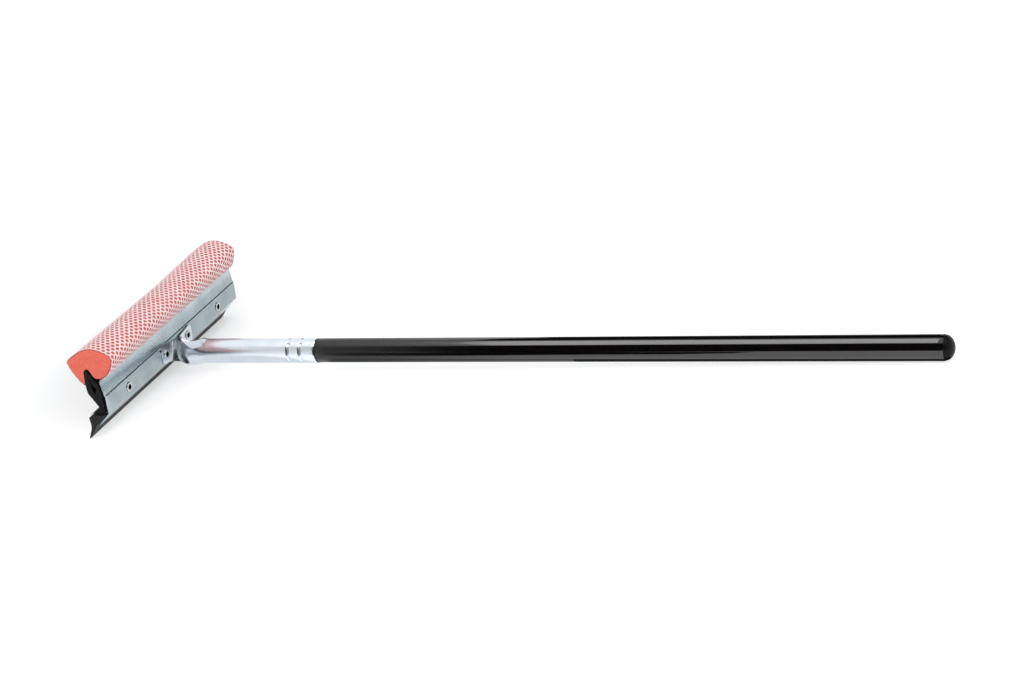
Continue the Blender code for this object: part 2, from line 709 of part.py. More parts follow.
def strip_rows(side, top_angle, edge_rise, edge_shares, columns):
    """The rows of points of one strip, each from its bottom edge to its top edge."""
    stations = strip_stations()
    strip_length = stations[-1][0]
    dip, root = [NECK_LENGTH * share for share in edge_shares]
    half_ear = EAR_HEIGHT / 2
    rows = []
    for travel, spot, outward in stations:
        settled = eased(travel / NECK_LENGTH)
        roll = 1 - settled
        corner = min((strip_length - travel) / EAR_CORNER_RADIUS, 1)
        trim = EAR_CORNER_RADIUS * (1 - math.sqrt(1 - (1 - corner) ** 2))
        low_start = -math.radians(90) * FERRULE_RADIUS
        low = low_start - (half_ear + low_start) * eased(travel / strip_length) + trim
        top_start = math.radians(top_angle) * FERRULE_RADIUS
        high = top_start + (edge_rise - top_start) * eased(travel / dip)
        high += (EAR_ROOT_RISE - edge_rise) * eased((travel - dip) / (root - dip))
        high += (half_ear - EAR_ROOT_RISE) * eased((travel - root) / (strip_length - root)) - trim
        lean = math.tan(math.radians(RIVET_LEAN)) * settled
        splay = math.tan(math.radians(NECK_SPLAY)) * settled * settled
        splay *= 1 - eased((travel - NECK_LENGTH) / (strip_length - NECK_LENGTH))
        row = []
        for column in range(columns + 1):
            girth = low + (high - low) * column / columns
            inward, rise = 0, girth
            if roll > 0:
                swing = girth * roll / FERRULE_RADIUS
                inward = FERRULE_RADIUS / roll * (math.cos(swing) - 1)
                rise = FERRULE_RADIUS / roll * math.sin(swing)
            point = spot + outward * inward
            height = HANDLE_AXIS_HEIGHT + (RIVET_HEIGHT - HANDLE_AXIS_HEIGHT) * settled
            row.append(Vector((point.x + rise * lean, side * (point.y - rise * splay), height + rise)))
        rows.append(row)
    return rows


def ferrule_angles():
    """The angles of the tube's points, from its bottom round by the far side, the notch and the near side."""
    far = [-90 + (NOTCH_FAR_ANGLE + 90) * column / FAR_COLUMNS for column in range(FAR_COLUMNS)]
    top = [NOTCH_FAR_ANGLE + (NOTCH_NEAR_ANGLE - NOTCH_FAR_ANGLE) * column / TOP_COLUMNS
           for column in range(TOP_COLUMNS)]
    near = [NOTCH_NEAR_ANGLE + (270 - NOTCH_NEAR_ANGLE) * column / NEAR_COLUMNS
            for column in range(NEAR_COLUMNS)]
    return far + top + near


def build_ferrule(holes):
    """The tube with its crimps, opened at the front into two ears against the back plate."""
    stations = [FERRULE_END] + crimp_stations()
    plain = (stations[-1] - FERRULE_NOTCH) / PLAIN_ROWS
    stations += [stations[-1] - plain * step for step in range(1, PLAIN_ROWS + 1)]
    angles = ferrule_angles()
    points, faces = [], []
    for along in stations:
        for angle in angles:
            radius = FERRULE_RADIUS - crimp_depth(along, angle)
            across = heading(angle) * radius
            points.append(Vector((along, across.x, HANDLE_AXIS_HEIGHT + across.y)))
    count = len(angles)
    for row in range(len(stations) - 1):
        for index in range(count):
            ahead = (index + 1) % count
            faces.append([row * count + index, row * count + ahead,
                          (row + 1) * count + ahead, (row + 1) * count + index])
    last = (len(stations) - 1) * count
    far_edge = [last + column for column in range(FAR_COLUMNS + 1)]
    near_edge = [last + (count - column) % count for column in range(NEAR_COLUMNS + 1)]
    strips = ((1, far_edge, NOTCH_FAR_ANGLE, FAR_EDGE_RISE, FAR_EDGE_SHARES),
              (-1, near_edge, 180 - NOTCH_NEAR_ANGLE, NEAR_EDGE_RISE, NEAR_EDGE_SHARES))
    for side, edge, top_angle, edge_rise, edge_shares in strips:
        before = edge
        for row in strip_rows(side, top_angle, edge_rise, edge_shares, len(edge) - 1):
            start = len(points)
            points += row
            here = list(range(start, start + len(row)))
            for column in range(len(edge) - 1):
                faces.append([before[column], before[column + 1], here[column + 1], here[column]])
            before = here
    ferrule = place("ferrule", mesh_from("ferrule", points, faces), "zinc_bright")
    ferrule.location.y = HANDLE_SIDE_SHIFT
    ferrule.data.shade_smooth()
    wall = ferrule.modifiers.new("wall", "SOLIDIFY")
    wall.thickness = FERRULE_WALL
    wall.offset = -1
    wall.use_even_offset = True
    cut(ferrule, holes["inner", "near"])
    cut(ferrule, holes["inner", "far"])


def build_handle():
    """The dowel: a spigot inside the ferrule, a long plain stretch and a domed end."""
    spigot_radius = FERRULE_RADIUS - FERRULE_WALL - CLEARANCE
    shoulder = FERRULE_END + CLEARANCE
    spigot_start = FERRULE_END - HANDLE_SPIGOT_LENGTH
    profile = [(HANDLE_CYLINDER_END + HANDLE_DOME_LENGTH, 0)]
    dome_radius = HANDLE_RADIUS - HANDLE_DOME_SHOULDER
    for step in range(1, DOME_STEPS + 1):
        swing = math.radians(90 * step / DOME_STEPS)
        profile.append((HANDLE_CYLINDER_END + HANDLE_DOME_LENGTH * math.cos(swing),
                        dome_radius * math.sin(swing)))
    profile += [(HANDLE_CYLINDER_END, HANDLE_RADIUS),
                (shoulder, HANDLE_RADIUS), (shoulder, spigot_radius)]
    for along in crimp_stations():
        profile.append((along, spigot_radius - pressed_at(along)))
    profile += [(spigot_start + HANDLE_SPIGOT_CHAMFER, spigot_radius),
                (spigot_start, spigot_radius - HANDLE_SPIGOT_CHAMFER), (spigot_start, 0)]
    points, faces = [(profile[0][0], 0, 0), (profile[-1][0], 0, 0)], []
    rings = profile[1:-1]
    for along, radius in rings:
        for side in range(HANDLE_SIDES):
            across = heading(360 * side / HANDLE_SIDES) * radius
            points.append((along, across.x, across.y))
    for side in range(HANDLE_SIDES):
        beside = (side + 1) % HANDLE_SIDES
        faces.append([0, 2 + side, 2 + beside])
        for ring in range(len(rings) - 1):
            start, ahead = 2 + ring * HANDLE_SIDES, 2 + (ring + 1) * HANDLE_SIDES
            faces.append([start + side, ahead + side, ahead + beside, start + beside])
        last = 2 + (len(rings) - 1) * HANDLE_SIDES
        faces.append([last + beside, last + side, 1])
    handle = place("handle", mesh_from("handle", points, faces), "black_lacquer")
    handle.location = (0, HANDLE_SIDE_SHIFT, HANDLE_AXIS_HEIGHT)
    handle.data.shade_smooth()
    handle.data.set_sharp_from_angle(angle=math.radians(35))


clear_scene()
tool = bpy.data.objects.new("tool_at_rest", None)
bpy.context.collection.objects.link(tool)
tool.location.x = -BLADE_EDGE_WIDTH / 2
tool.rotation_euler.y = REST_TILT
rivet_holes = build_rivet_holes()
build_back_plate(rivet_holes)
build_retainer(rivet_holes)
build_blade()
build_core(rivet_holes)
build_front_bar(rivet_holes)
build_sponge()
build_net(rivet_holes)
build_rivets()
build_ferrule(rivet_holes)
build_handle()
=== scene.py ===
"""Looks for a scrubbing squeegee: a netted foam sponge and a rubber blade on a riveted zinc head, with a
ferrule and a lacquered handle.

Every piece is built in the tool's own frame, with X along the handle, Y along the head and Z up from the
blade's edge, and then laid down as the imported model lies. Sizes are in metres, written as millimetres
times MM.
"""

from __future__ import annotations

import json
import logging
import math
from dataclasses import dataclass
from enum import Enum
from functools import partial
from typing import Any, Callable, Mapping, Sequence

import bmesh
import bpy
from mathutils import Matrix, Vector, noise

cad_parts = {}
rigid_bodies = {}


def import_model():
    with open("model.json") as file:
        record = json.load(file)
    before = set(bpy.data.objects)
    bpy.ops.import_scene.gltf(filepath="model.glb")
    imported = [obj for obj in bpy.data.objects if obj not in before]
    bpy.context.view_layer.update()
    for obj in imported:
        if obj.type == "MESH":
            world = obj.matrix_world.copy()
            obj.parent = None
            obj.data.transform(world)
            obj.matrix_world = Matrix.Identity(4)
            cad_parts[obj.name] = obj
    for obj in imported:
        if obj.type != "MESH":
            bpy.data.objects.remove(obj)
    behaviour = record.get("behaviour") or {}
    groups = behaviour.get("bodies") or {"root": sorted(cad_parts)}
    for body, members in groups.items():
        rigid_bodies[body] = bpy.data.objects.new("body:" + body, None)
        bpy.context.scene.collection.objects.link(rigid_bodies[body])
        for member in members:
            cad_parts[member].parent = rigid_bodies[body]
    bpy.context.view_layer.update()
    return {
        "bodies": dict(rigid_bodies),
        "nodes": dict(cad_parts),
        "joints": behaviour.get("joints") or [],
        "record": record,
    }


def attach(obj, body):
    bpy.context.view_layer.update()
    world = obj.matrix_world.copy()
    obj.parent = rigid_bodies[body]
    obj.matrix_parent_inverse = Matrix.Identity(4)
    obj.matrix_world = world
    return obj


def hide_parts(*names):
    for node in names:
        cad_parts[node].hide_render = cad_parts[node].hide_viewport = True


LOG = logging.getLogger("squeegee")
MM = 0.001
BODY = "root"
# the axis that the handle and the ferrule share, a little to one side of the head's middle
AXIS_HEIGHT = 19.6 * MM
SIDE_SHIFT = 1.6 * MM
# a bend may use up to this share of the sides beside it
BEND_SHARE = 0.45

Pairs = tuple[tuple[float, float], ...]
Spot = tuple[float, float, float]
Outline = list[Vector]
AddNode = Callable[..., bpy.types.Node]


class Slot(Enum):
    """The record's material slots of the finer pieces."""

    ZINC_PLATE = "zinc_plate"
    ZINC_BRIGHT = "zinc_bright"
    ZINC_RIVET = "zinc_rivet"
    FOAM = "foam"
    NETTING = "netting"
    BLACK_LACQUER = "black_lacquer"


@dataclass(frozen=True)
class ToolFrame:
    """How the tool lies: tilted a little, with the middle of its blade's flat edge at the origin."""

    tilt: float = 0.01700959
    edge_half_width: float = 0.4 * MM

    def matrix(self) -> Matrix:
        """The move from the tool's own frame to the table's."""
        return Matrix.Translation((-self.edge_half_width, 0, 0)) @ Matrix.Rotation(self.tilt, 4, "Y")


# Colours and nodes


def linear(code: str) -> tuple[float, float, float, float]:
    """Turns an sRGB hex colour to linear.

    Args:
        code: six hex digits.

    Returns:
        Red, green, blue and alpha.
    """
    values = [int(code[start:start + 2], 16) / 255 for start in (0, 2, 4)]
    levels = [value / 12.92 if value <= 0.04045 else ((value + 0.055) / 1.055) ** 2.4 for value in values]
    return levels[0], levels[1], levels[2], 1.0


def add_node(tree: bpy.types.NodeTree, kind: str, settings: Mapping[str, Any] | None = None,
             links: Mapping[str | int, bpy.types.Node | bpy.types.NodeSocket] | None = None
             ) -> bpy.types.Node:
    """Adds a node with its settings and links.

    Args:
        tree: the node tree.
        kind: the node's type, without the word ShaderNode before it.
        settings: values by the name or index of an input, or by the name of a property of the node; a ramp's
            stops are pairs of a place and an sRGB hex colour.
        links: by the name or index of an input, the socket that feeds it, or a node for its first output.

    Returns:
        The new node.
    """
    node = tree.nodes.new("ShaderNode" + kind)
    for key, value in (settings or {}).items():
        if key == "stops":
            elements = node.color_ramp.elements
            while len(elements) < len(value):
                elements.new(0.5)
            for element, (place, code) in zip(elements, value):
                element.position, element.color = place, linear(code)
        elif hasattr(node, key):
            setattr(node, key, value)
        else:
            node.inputs[int(key) if key.isdigit() else key].default_value = value
    for key, source in (links or {}).items():
        socket = source.outputs[0] if isinstance(source, bpy.types.Node) else source
        tree.links.new(socket, node.inputs[key])
    return node


def seen_directly(add: AddNode) -> bpy.types.Node:
    """Tells what the camera, reflections and glass see from what only lights the object.

    Args:
        add: add_node, bound to a node tree.

    Returns:
        A node that gives 1 where something looks, and 0 elsewhere.
    """
    paths = add("LightPath").outputs
    looks = add("Math", {"operation": "MAXIMUM"}, {0: paths["Is Camera Ray"], 1: paths["Is Glossy Ray"]})
    return add("Math", {"operation": "MAXIMUM"}, {0: looks, 1: paths["Is Transmission Ray"]})


# Finishes


@dataclass(frozen=True)
class Finish:
    """A material, named for what the real one is and how its surface was made."""

    name: str

    def surface(self, add: AddNode) -> bpy.types.Node:
        """Draws the surface, each finish in its own way.

        Args:
            add: add_node, bound to the material's node tree.

        Returns:
            The shader.
        """
        raise NotImplementedError

    def build(self) -> bpy.types.Material:
        """Makes the material.

        Returns:
            The material.
        """
        material = bpy.data.materials.new(self.name)
        material.use_nodes = True
        material.node_tree.nodes.clear()
        add = partial(add_node, material.node_tree)
        add("OutputMaterial", links={"Surface": self.surface(add)})
        return material


@dataclass(frozen=True)
class ZincSheet(Finish):
    """Electroplated zinc on cold-rolled sheet: a satin grey-blue with faint rolling lines and soft clouds."""

    name: str = "electroplated_zinc_sheet"
    bright: str = "B9C7CC"
    dull: str = "A8B6BC"
    cloud_size: float = 14 * MM
    # both drawn coarser than on real sheet, where they are under a tenth of a millimetre
    grain_size: float = 0.8 * MM
    line_spacing: float = 0.5 * MM
    # the rolling lines run along the head, so the pattern is drawn out along Y
    line_draw: Spot = (1.0, 0.02, 1.0)
    grain_share: float = 0.3
    line_share: float = 0.4
    roughness: float = 0.26
    roughness_spread: float = 0.03
    bump_height: float = 0.002 * MM

    def surface(self, add: AddNode) -> bpy.types.Node:
        """Draws the clouds, the grain and the rolling lines.

        Args:
            add: add_node, bound to the material's node tree.

        Returns:
            The shader.
        """
        place = add("TexCoord").outputs["Object"]
        clouds = add("TexNoise", {"Scale": 1 / self.cloud_size, "Detail": 4.0}, {"Vector": place})
        grain = add("TexNoise", {"Scale": 1 / self.grain_size, "Detail": 3.0}, {"Vector": place})
        drawn = add("Mapping", {"Scale": self.line_draw}, {"Vector": place})
        lines = add("TexNoise", {"Scale": 1 / self.line_spacing, "Detail": 2.0}, {"Vector": drawn})
        mottled = add("Math", {"operation": "MULTIPLY_ADD", "1": self.grain_share}, {0: grain, 2: clouds})
        mottled = add("Math", {"operation": "MULTIPLY_ADD", "1": self.line_share}, {0: lines, 2: mottled})
        colour = add("ValToRGB", {"stops": ((0.66, self.dull), (1.0, self.bright))}, {"Fac": mottled})
        rough = add("MapRange",
                    {"From Min": 0.6, "From Max": 1.0, "To Min": self.roughness + self.roughness_spread,
                     "To Max": self.roughness - self.roughness_spread}, {"Value": mottled})
        bump = add("Bump", {"Distance": self.bump_height, "Strength": 0.6}, {"Height": mottled})
        return add("BsdfPrincipled", {"Metallic": 1.0},
                   {"Base Color": colour, "Roughness": rough, "Normal": bump})


@dataclass(frozen=True)
class ZincTube(Finish):
    """Bright zinc with a clear blue passivate on drawn steel: smooth and bluish white."""

    pale: str = "EDF3FA"
    blue: str = "DFE9F4"
    cloud_size: float = 14 * MM
    # drawn coarser than the real plating's grain
    grain_size: float = 0.5 * MM
    roughness: float = 0.25
    roughness_spread: float = 0.02
    bump_height: float = 0.003 * MM

    def surface(self, add: AddNode) -> bpy.types.Node:
        """Draws the plating's clouds and its fine grain.

        Args:
            add: add_node, bound to the material's node tree.

        Returns:
            The shader.
        """
        place = add("TexCoord").outputs["Object"]
        clouds = add("TexNoise", {"Scale": 1 / self.cloud_size, "Detail": 3.0}, {"Vector": place})
        grain = add("TexNoise", {"Scale": 1 / self.grain_size, "Detail": 2.0}, {"Vector": place})
        colour = add("ValToRGB", {"stops": ((0.2, self.blue), (0.8, self.pale))}, {"Fac": clouds})
        rough = add("MapRange",
                    {"From Min": 0.1, "From Max": 0.9, "To Min": self.roughness - self.roughness_spread,
                     "To Max": self.roughness + self.roughness_spread}, {"Value": clouds})
        bump = add("Bump", {"Distance": self.bump_height, "Strength": 0.5}, {"Height": grain})
        return add("BsdfPrincipled", {"Metallic": 1.0},
                   {"Base Color": colour, "Roughness": rough, "Normal": bump})


@dataclass(frozen=True)
class BoreShade(Finish):
    """A dark blue-grey painted inside the rivets' bores, for the shade in them."""

    name: str = "painted_shade_in_rivet_bore"
    blue: str = "1A1C28"
    grey: str = "2C2E38"
    patch_size: float = 1.5 * MM
    roughness: float = 0.5

    def surface(self, add: AddNode) -> bpy.types.Node:
        """Draws the painted shade's patches.

        Args:
            add: add_node, bound to the material's node tree.

        Returns:
            The shader.
        """
        place = add("TexCoord").outputs["Object"]
        patch = add("TexNoise", {"Scale": 1 / self.patch_size, "Detail": 3.0}, {"Vector": place})
        colour = add("ValToRGB", {"stops": ((0.35, self.blue), (0.7, self.grey))}, {"Fac": patch})
        return add("BsdfPrincipled", {"Metallic": 1.0, "Roughness": self.roughness}, {"Base Color": colour})


@dataclass(frozen=True)
class FlangeShadedSheet(Finish):
    """Zinc sheet: satin grey below, with painted shade above, a dark blue-grey on the flange behind the
    plate.
    """

    name: str = "zinc_sheet_with_painted_flange_shade"
    zinc_bright: str = "BBC9CE"
    zinc_dull: str = "A5B3B9"
    # the flange behind the plate, between the rubber and the plate, is painted dark blue-grey for the shade
    # there
    flange_shade: str = "20222C"
    # drawn coarser than the real grain of a few hundredths of a millimetre, so that it shows
    grain_size: float = 0.8 * MM
    grain_share: float = 0.45
    cloud_size: float = 14 * MM
    unshaded_until: float = 20.3 * MM
    flange_shade_from: float = 20.5 * MM
    zinc_roughness: float = 0.26
    flange_shade_roughness: float = 0.5

    def surface(self, add: AddNode) -> bpy.types.Node:
        """Draws the zinc, and the painted shade above it.

        Args:
            add: add_node, bound to the material's node tree.

        Returns:
            The shader.
        """
        place = add("TexCoord").outputs["Object"]
        height = add("SeparateXYZ", links={0: place}).outputs["Z"]
        clouds = add("TexNoise", {"Scale": 1 / self.cloud_size, "Detail": 4.0}, {"Vector": place})
        grain = add("TexNoise", {"Scale": 1 / self.grain_size, "Detail": 3.0}, {"Vector": place})
        mottled = add("Math", {"operation": "MULTIPLY_ADD", "1": self.grain_share}, {0: grain, 2: clouds})
        zinc = add("ValToRGB", {"stops": ((0.6, self.zinc_dull), (0.9, self.zinc_bright))}, {"Fac": mottled})
        edge = {"From Min": self.unshaded_until, "From Max": self.flange_shade_from}
        # 1 on the zinc below, 0 on the painted shade above
        plated = add("MapRange", {**edge, "To Min": 1.0, "To Max": 0.0}, {"Value": height})
        rough = add("MapRange", {**edge, "To Min": self.zinc_roughness, "To Max": self.flange_shade_roughness},
                    {"Value": height})
        colour = add("MixRGB", {"Color1": linear(self.flange_shade)}, {"Fac": plated, "Color2": zinc})
        return add("BsdfPrincipled", {"Metallic": 1.0}, {"Base Color": colour, "Roughness": rough})


@dataclass(frozen=True)
class Rubber(Finish):
    """Black vulcanised rubber: matt, with fine extrusion lines along the head and a little bloom."""

    black: str
    bloom: str
    roughness: float
    sheen: float
    bloom_size: float = 7 * MM
    # how much smoother the plain rubber is, and how much duller the bloom
    roughness_spread: tuple[float, float] = (0.08, 0.1)
    # the die's lines, drawn about twice as coarse as real ones and drawn out along the head
    line_spacing: float = 0.4 * MM
    line_draw: Spot = (1.0, 0.04, 1.0)
    bump_height: float = 0.03 * MM

    def surface(self, add: AddNode) -> bpy.types.Node:
        """Draws the bloom and the die's lines.

        Args:
            add: add_node, bound to the material's node tree.

        Returns:
            The shader.
        """
        place = add("TexCoord").outputs["Object"]
        bloom = add("TexNoise", {"Scale": 1 / self.bloom_size, "Detail": 5.0}, {"Vector": place})
        drawn = add("Mapping", {"Scale": self.line_draw}, {"Vector": place})
        lines = add("TexNoise", {"Scale": 1 / self.line_spacing, "Detail": 3.0}, {"Vector": drawn})
        colour = add("ValToRGB", {"stops": ((0.4, self.black), (0.75, self.bloom))}, {"Fac": bloom})
        smoother, duller = self.roughness_spread
        rough = add("MapRange", {"From Min": 0.3, "From Max": 0.7, "To Min": self.roughness - smoother,
                                 "To Max": self.roughness + duller}, {"Value": bloom})
        bump = add("Bump", {"Distance": self.bump_height, "Strength": 0.7}, {"Height": lines})
        return add("BsdfPrincipled", {"IOR": 1.52, "Specular IOR Level": self.sheen},
                   {"Base Color": colour, "Roughness": rough, "Normal": bump})


@dataclass(frozen=True)
class OpenCellFoam(Finish):
    """Polyurethane foam, cut: a coral mat of open cells, pale at the walls, with painted shade in the cells'
    depths.
    """

    name: str = "open_cell_polyurethane_foam"
    # the colours from the cell walls through the body into the cells; the cells' darker depths are painted
    # shade
    wall: str = "FD9480"
    body: str = "F67A66"
    deep: str = "E8634F"
    # drawn coarser than the real cells of a third of a millimetre
    cell_size: float = 0.8 * MM
    fine_cell_size: float = 0.4 * MM
    patch_size: float = 4 * MM
    cell_share: float = 1.6
    patch_share: float = 0.6
    # painted shade: the skin under the net is tinted darker than the cut end, for the shade of the net and
    # the cells
    under_net_shade: str = "DEF2FA"
    cut_face_until: float = -101.6 * MM
    skin_from: float = -100.8 * MM
    bump_height: float = 0.2 * MM

    def surface(self, add: AddNode) -> bpy.types.Node:
        """Draws the cells with painted shade in their depths, and the painted shade on the skin away from the
        cut end.

        Args:
            add: add_node, bound to the material's node tree.

        Returns:
            The shader.
        """
        place = add("TexCoord").outputs["Object"]
        cells = add("TexVoronoi", {"feature": "DISTANCE_TO_EDGE", "Scale": 1 / self.cell_size},
                    {"Vector": place})
        fine = add("TexVoronoi", {"Scale": 1 / self.fine_cell_size}, {"Vector": place})
        patch = add("TexNoise", {"Scale": 1 / self.patch_size, "Detail": 4.0}, {"Vector": place})
        depth = add("Math", {"operation": "MULTIPLY_ADD", "1": self.cell_share},
                    {0: cells.outputs["Distance"], 2: fine.outputs["Distance"]})
        depth = add("Math", {"operation": "MULTIPLY_ADD", "1": self.patch_share}, {0: patch, 2: depth})
        # painted shade: the colour darkens from the cell walls into the cells
        colour = add("ValToRGB", {"stops": ((0.35, self.wall), (0.75, self.body), (1.0, self.deep))},
                     {"Fac": depth})
        along = add("SeparateXYZ", links={0: place}).outputs["Y"]
        # the skin under the net gets the painted shade's tint, and the cut end keeps its colour
        skin = add("MapRange", {"From Min": self.cut_face_until, "From Max": self.skin_from},
                   {"Value": along})
        colour = add("MixRGB", {"blend_type": "MULTIPLY", "Color2": linear(self.under_net_shade)},
                     {"Fac": skin, "Color1": colour})
        bump = add("Bump", {"Distance": self.bump_height, "Strength": 0.6, "invert": True}, {"Height": depth})
        return add("BsdfPrincipled", {"Roughness": 0.95, "Specular IOR Level": 0.2, "Sheen Weight": 0.2,
                                      "Sheen Roughness": 0.6}, {"Base Color": colour, "Normal": bump})


@dataclass(frozen=True)
class KnittedNet(Finish):
    """Knitted polyethylene net: white strands of flat yarn that let a little of the foam's colour through."""

    name: str = "knitted_polyethylene_net"
    white: str = "FFE6E6"
    tinted: str = "FFC9C8"
    patch_size: float = 9 * MM
    yarn_width: float = 0.3 * MM
    yarn_share: float = 0.5
    bump_height: float = 0.06 * MM

    def surface(self, add: AddNode) -> bpy.types.Node:
        """Draws the yarn, and the patches where the foam shines through.

        Args:
            add: add_node, bound to the material's node tree.

        Returns:
            The shader.
        """
        place = add("TexCoord").outputs["Object"]
        patch = add("TexNoise", {"Scale": 1 / self.patch_size, "Detail": 3.0}, {"Vector": place})
        yarn = add("TexNoise", {"Scale": 1 / self.yarn_width, "Detail": 2.0}, {"Vector": place})
        mixed = add("Math", {"operation": "MULTIPLY_ADD", "1": self.yarn_share}, {0: yarn, 2: patch})
        colour = add("ValToRGB", {"stops": ((0.55, self.white), (1.0, self.tinted))}, {"Fac": mixed})
        bump = add("Bump", {"Distance": self.bump_height, "Strength": 0.5}, {"Height": yarn})
        return add("BsdfPrincipled",
                   {"Roughness": 0.55, "IOR": 1.5, "Subsurface Weight": 0.25,
                    "Subsurface Radius": (1.0, 0.5, 0.45), "Subsurface Scale": 0.8 * MM},
                   {"Base Color": colour, "Normal": bump})


@dataclass(frozen=True)
class GlossLacquer(Finish):
    """Black nitrocellulose lacquer on beech: a deep gloss with a soft orange peel, duller by the ferrule."""

    name: str = "black_lacquer_on_beech"
    black: str = "060505"
    brown: str = "0D0908"
    gloss: float = 0.07
    dull: float = 0.34
    dull_until: float = 190 * MM
    gloss_from: float = 330 * MM
    coat_from: float = 215 * MM
    # the peel shifts the place where the gloss sets in, by up to this much
    peel_shift: float = 40 * MM
    # the dome was dipped and not polished, so it is dull
    dome_from: float = 613.9 * MM
    dome_blend: float = 0.2 * MM
    dome_roughness: float = 0.4
    # the clear coat from the ferrule to the glossy part, and what it and the sheen lose on the dome
    coat: tuple[float, float] = (0.1, 0.8)
    coat_loss: float = -2.5
    sheen: float = 0.5
    sheen_loss: float = -0.9
    peel_size: float = 3.5 * MM
    grain_size: float = 0.6 * MM
    # both patterns are drawn out along the dowel
    draw: Spot = (0.15, 1.0, 1.0)
    peel_height: float = 0.012 * MM

    def surface(self, add: AddNode) -> bpy.types.Node:
        """Draws the orange peel, the gloss that sets in along the dowel and the dull dome.

        Args:
            add: add_node, bound to the material's node tree.

        Returns:
            The shader.
        """
        place = add("TexCoord").outputs["Object"]
        along = add("SeparateXYZ", links={0: place}).outputs["X"]
        drawn = add("Mapping", {"Scale": self.draw}, {"Vector": place})
        peel = add("TexNoise", {"Scale": 1 / self.peel_size, "Detail": 2.0}, {"Vector": drawn})
        grain = add("TexNoise", {"Scale": 1 / self.grain_size, "Detail": 2.0}, {"Vector": drawn})
        colour = add("ValToRGB", {"stops": ((0.4, self.black), (0.7, self.brown))}, {"Fac": grain})
        shifted = add("Math", {"operation": "MULTIPLY_ADD", "1": self.peel_shift}, {0: peel, 2: along})
        rough = add("MapRange", {"From Min": self.dull_until, "From Max": self.gloss_from,
                                 "To Min": self.dull, "To Max": self.gloss}, {"Value": shifted})
        dome = add("MapRange", {"From Min": self.dome_from, "From Max": self.dome_from + self.dome_blend,
                                "To Min": 0.0, "To Max": self.dome_roughness}, {"Value": along})
        rough = add("Math", {"operation": "MAXIMUM"}, {0: rough, 1: dome})
        thin, thick = self.coat
        coat = add("MapRange", {"From Min": self.coat_from, "From Max": self.gloss_from, "To Min": thin,
                                "To Max": thick}, {"Value": shifted})
        coat = add("Math", {"operation": "MULTIPLY_ADD", "1": self.coat_loss, "use_clamp": True},
                   {0: dome, 2: coat})
        sheen = add("Math", {"operation": "MULTIPLY_ADD", "1": self.sheen_loss, "2": self.sheen}, {0: dome})
        bump = add("Bump", {"Distance": self.peel_height, "Strength": 0.7}, {"Height": peel})
        return add("BsdfPrincipled", {"IOR": 1.5, "Coat Roughness": 0.05, "Coat IOR": 1.5},
                   {"Base Color": colour, "Roughness": rough, "Specular IOR Level": sheen,
                    "Coat Weight": coat, "Normal": bump, "Coat Normal": bump})


@dataclass(frozen=True)
class WhitePaper(Finish):
    """Matt white paper that glows to the camera and in reflections, so that all but the shadow is white."""

    name: str = "white_paper_floor"
    pale: str = "F2F2F2"
    seen: str = "B4B4B4"
    glow: float = 0.76
    # painted shadow: a patch behind the head, drawn out along it, glows less and so is a little darker
    shadow_glow: float = 0.40
    shadow_spot: Spot = (0.05, -0.028, 0.0)
    shadow_draw: Spot = (1.0, 0.55, 1.0)
    shadow_reach: float = 0.15

    def surface(self, add: AddNode) -> bpy.types.Node:
        """Draws the paper as it lights the object and as it is seen, with its painted shadow behind the head.

        Args:
            add: add_node, bound to the material's node tree.

        Returns:
            The shader.
        """
        place = add("TexCoord").outputs["Object"]
        # painted shadow: the glow is lower near the spot behind the head
        patch = add("Mapping", {"Location": self.shadow_spot, "Scale": self.shadow_draw}, {"Vector": place})
        away = add("VectorMath", {"operation": "LENGTH"}, {0: patch}).outputs["Value"]
        level = add("MapRange", {"interpolation_type": "SMOOTHSTEP", "From Max": self.shadow_reach,
                                 "To Min": self.shadow_glow, "To Max": self.glow}, {"Value": away})
        glow = add("Emission", {"Color": linear("FFFFFF")}, {"Strength": level})
        seen = add("BsdfDiffuse", {"Color": linear(self.seen)})
        both = add("AddShader", links={0: seen, 1: glow})
        plain = add("BsdfDiffuse", {"Color": linear(self.pale)})
        return add("MixShader", links={0: seen_directly(add), 1: plain, 2: both})


@dataclass(frozen=True)
class LitCard(Finish):
    """Evenly lit card: it gives reflections their tones, and where it is dark, their edges."""

    colour: str
    strength: float

    def surface(self, add: AddNode) -> bpy.types.Node:
        """Draws the card's plain face."""
        return add("Emission", {"Color": linear(self.colour), "Strength": self.strength})


# Profiles


def heading(degrees: float) -> Vector:
    """A unit vector in a profile's plane, turned from the first axis towards the second."""
    return Vector((math.cos(math.radians(degrees)), math.sin(math.radians(degrees))))


def eased(share: float) -> float:
    """A share from 0 to 1 that starts and ends softly."""
    share = min(max(share, 0.0), 1.0)
    return share * share * (3 - 2 * share)


def points_mm(values: Pairs) -> Outline:
    """Points of a profile from millimetres."""
    return [Vector(value) * MM for value in values]


def smooth(points: Outline, steps: int) -> Outline:
    """Draws a curve through points.

    Args:
        points: the points to pass through.
        steps: pieces of curve for each pair of points.

    Returns:
        The curve's points, the ends included.
    """
    path = []
    last = len(points) - 1
    for index in range(last):
        before, start = points[max(index - 1, 0)], points[index]
        end, after = points[index + 1], points[min(index + 2, last)]
        for step in range(steps):
            share = step / steps
            path.append(start + (end - before) / 2 * (share - 2 * share ** 2 + share ** 3)
                        + (end - start) * (3 * share ** 2 - 2 * share ** 3)
                        + (after - start) / 2 * (share ** 3 - share ** 2))
    path.append(points[last])
    return path


def offset(points: Outline, distance: float) -> Outline:
    """Moves an open path to its left, with its corners mitred.

    Args:
        points: the path.
        distance: how far to the left.

    Returns:
        The moved path.
    """
    normals = []
    for start, end in zip(points, points[1:]):
        along = (end - start).normalized()
        normals.append(Vector((-along.y, along.x)))
    moved = []
    for index, point in enumerate(points):
        before, after = normals[max(index - 1, 0)], normals[min(index, len(normals) - 1)]
        moved.append(point + (before + after) * distance / (1 + before.dot(after)))
    return moved


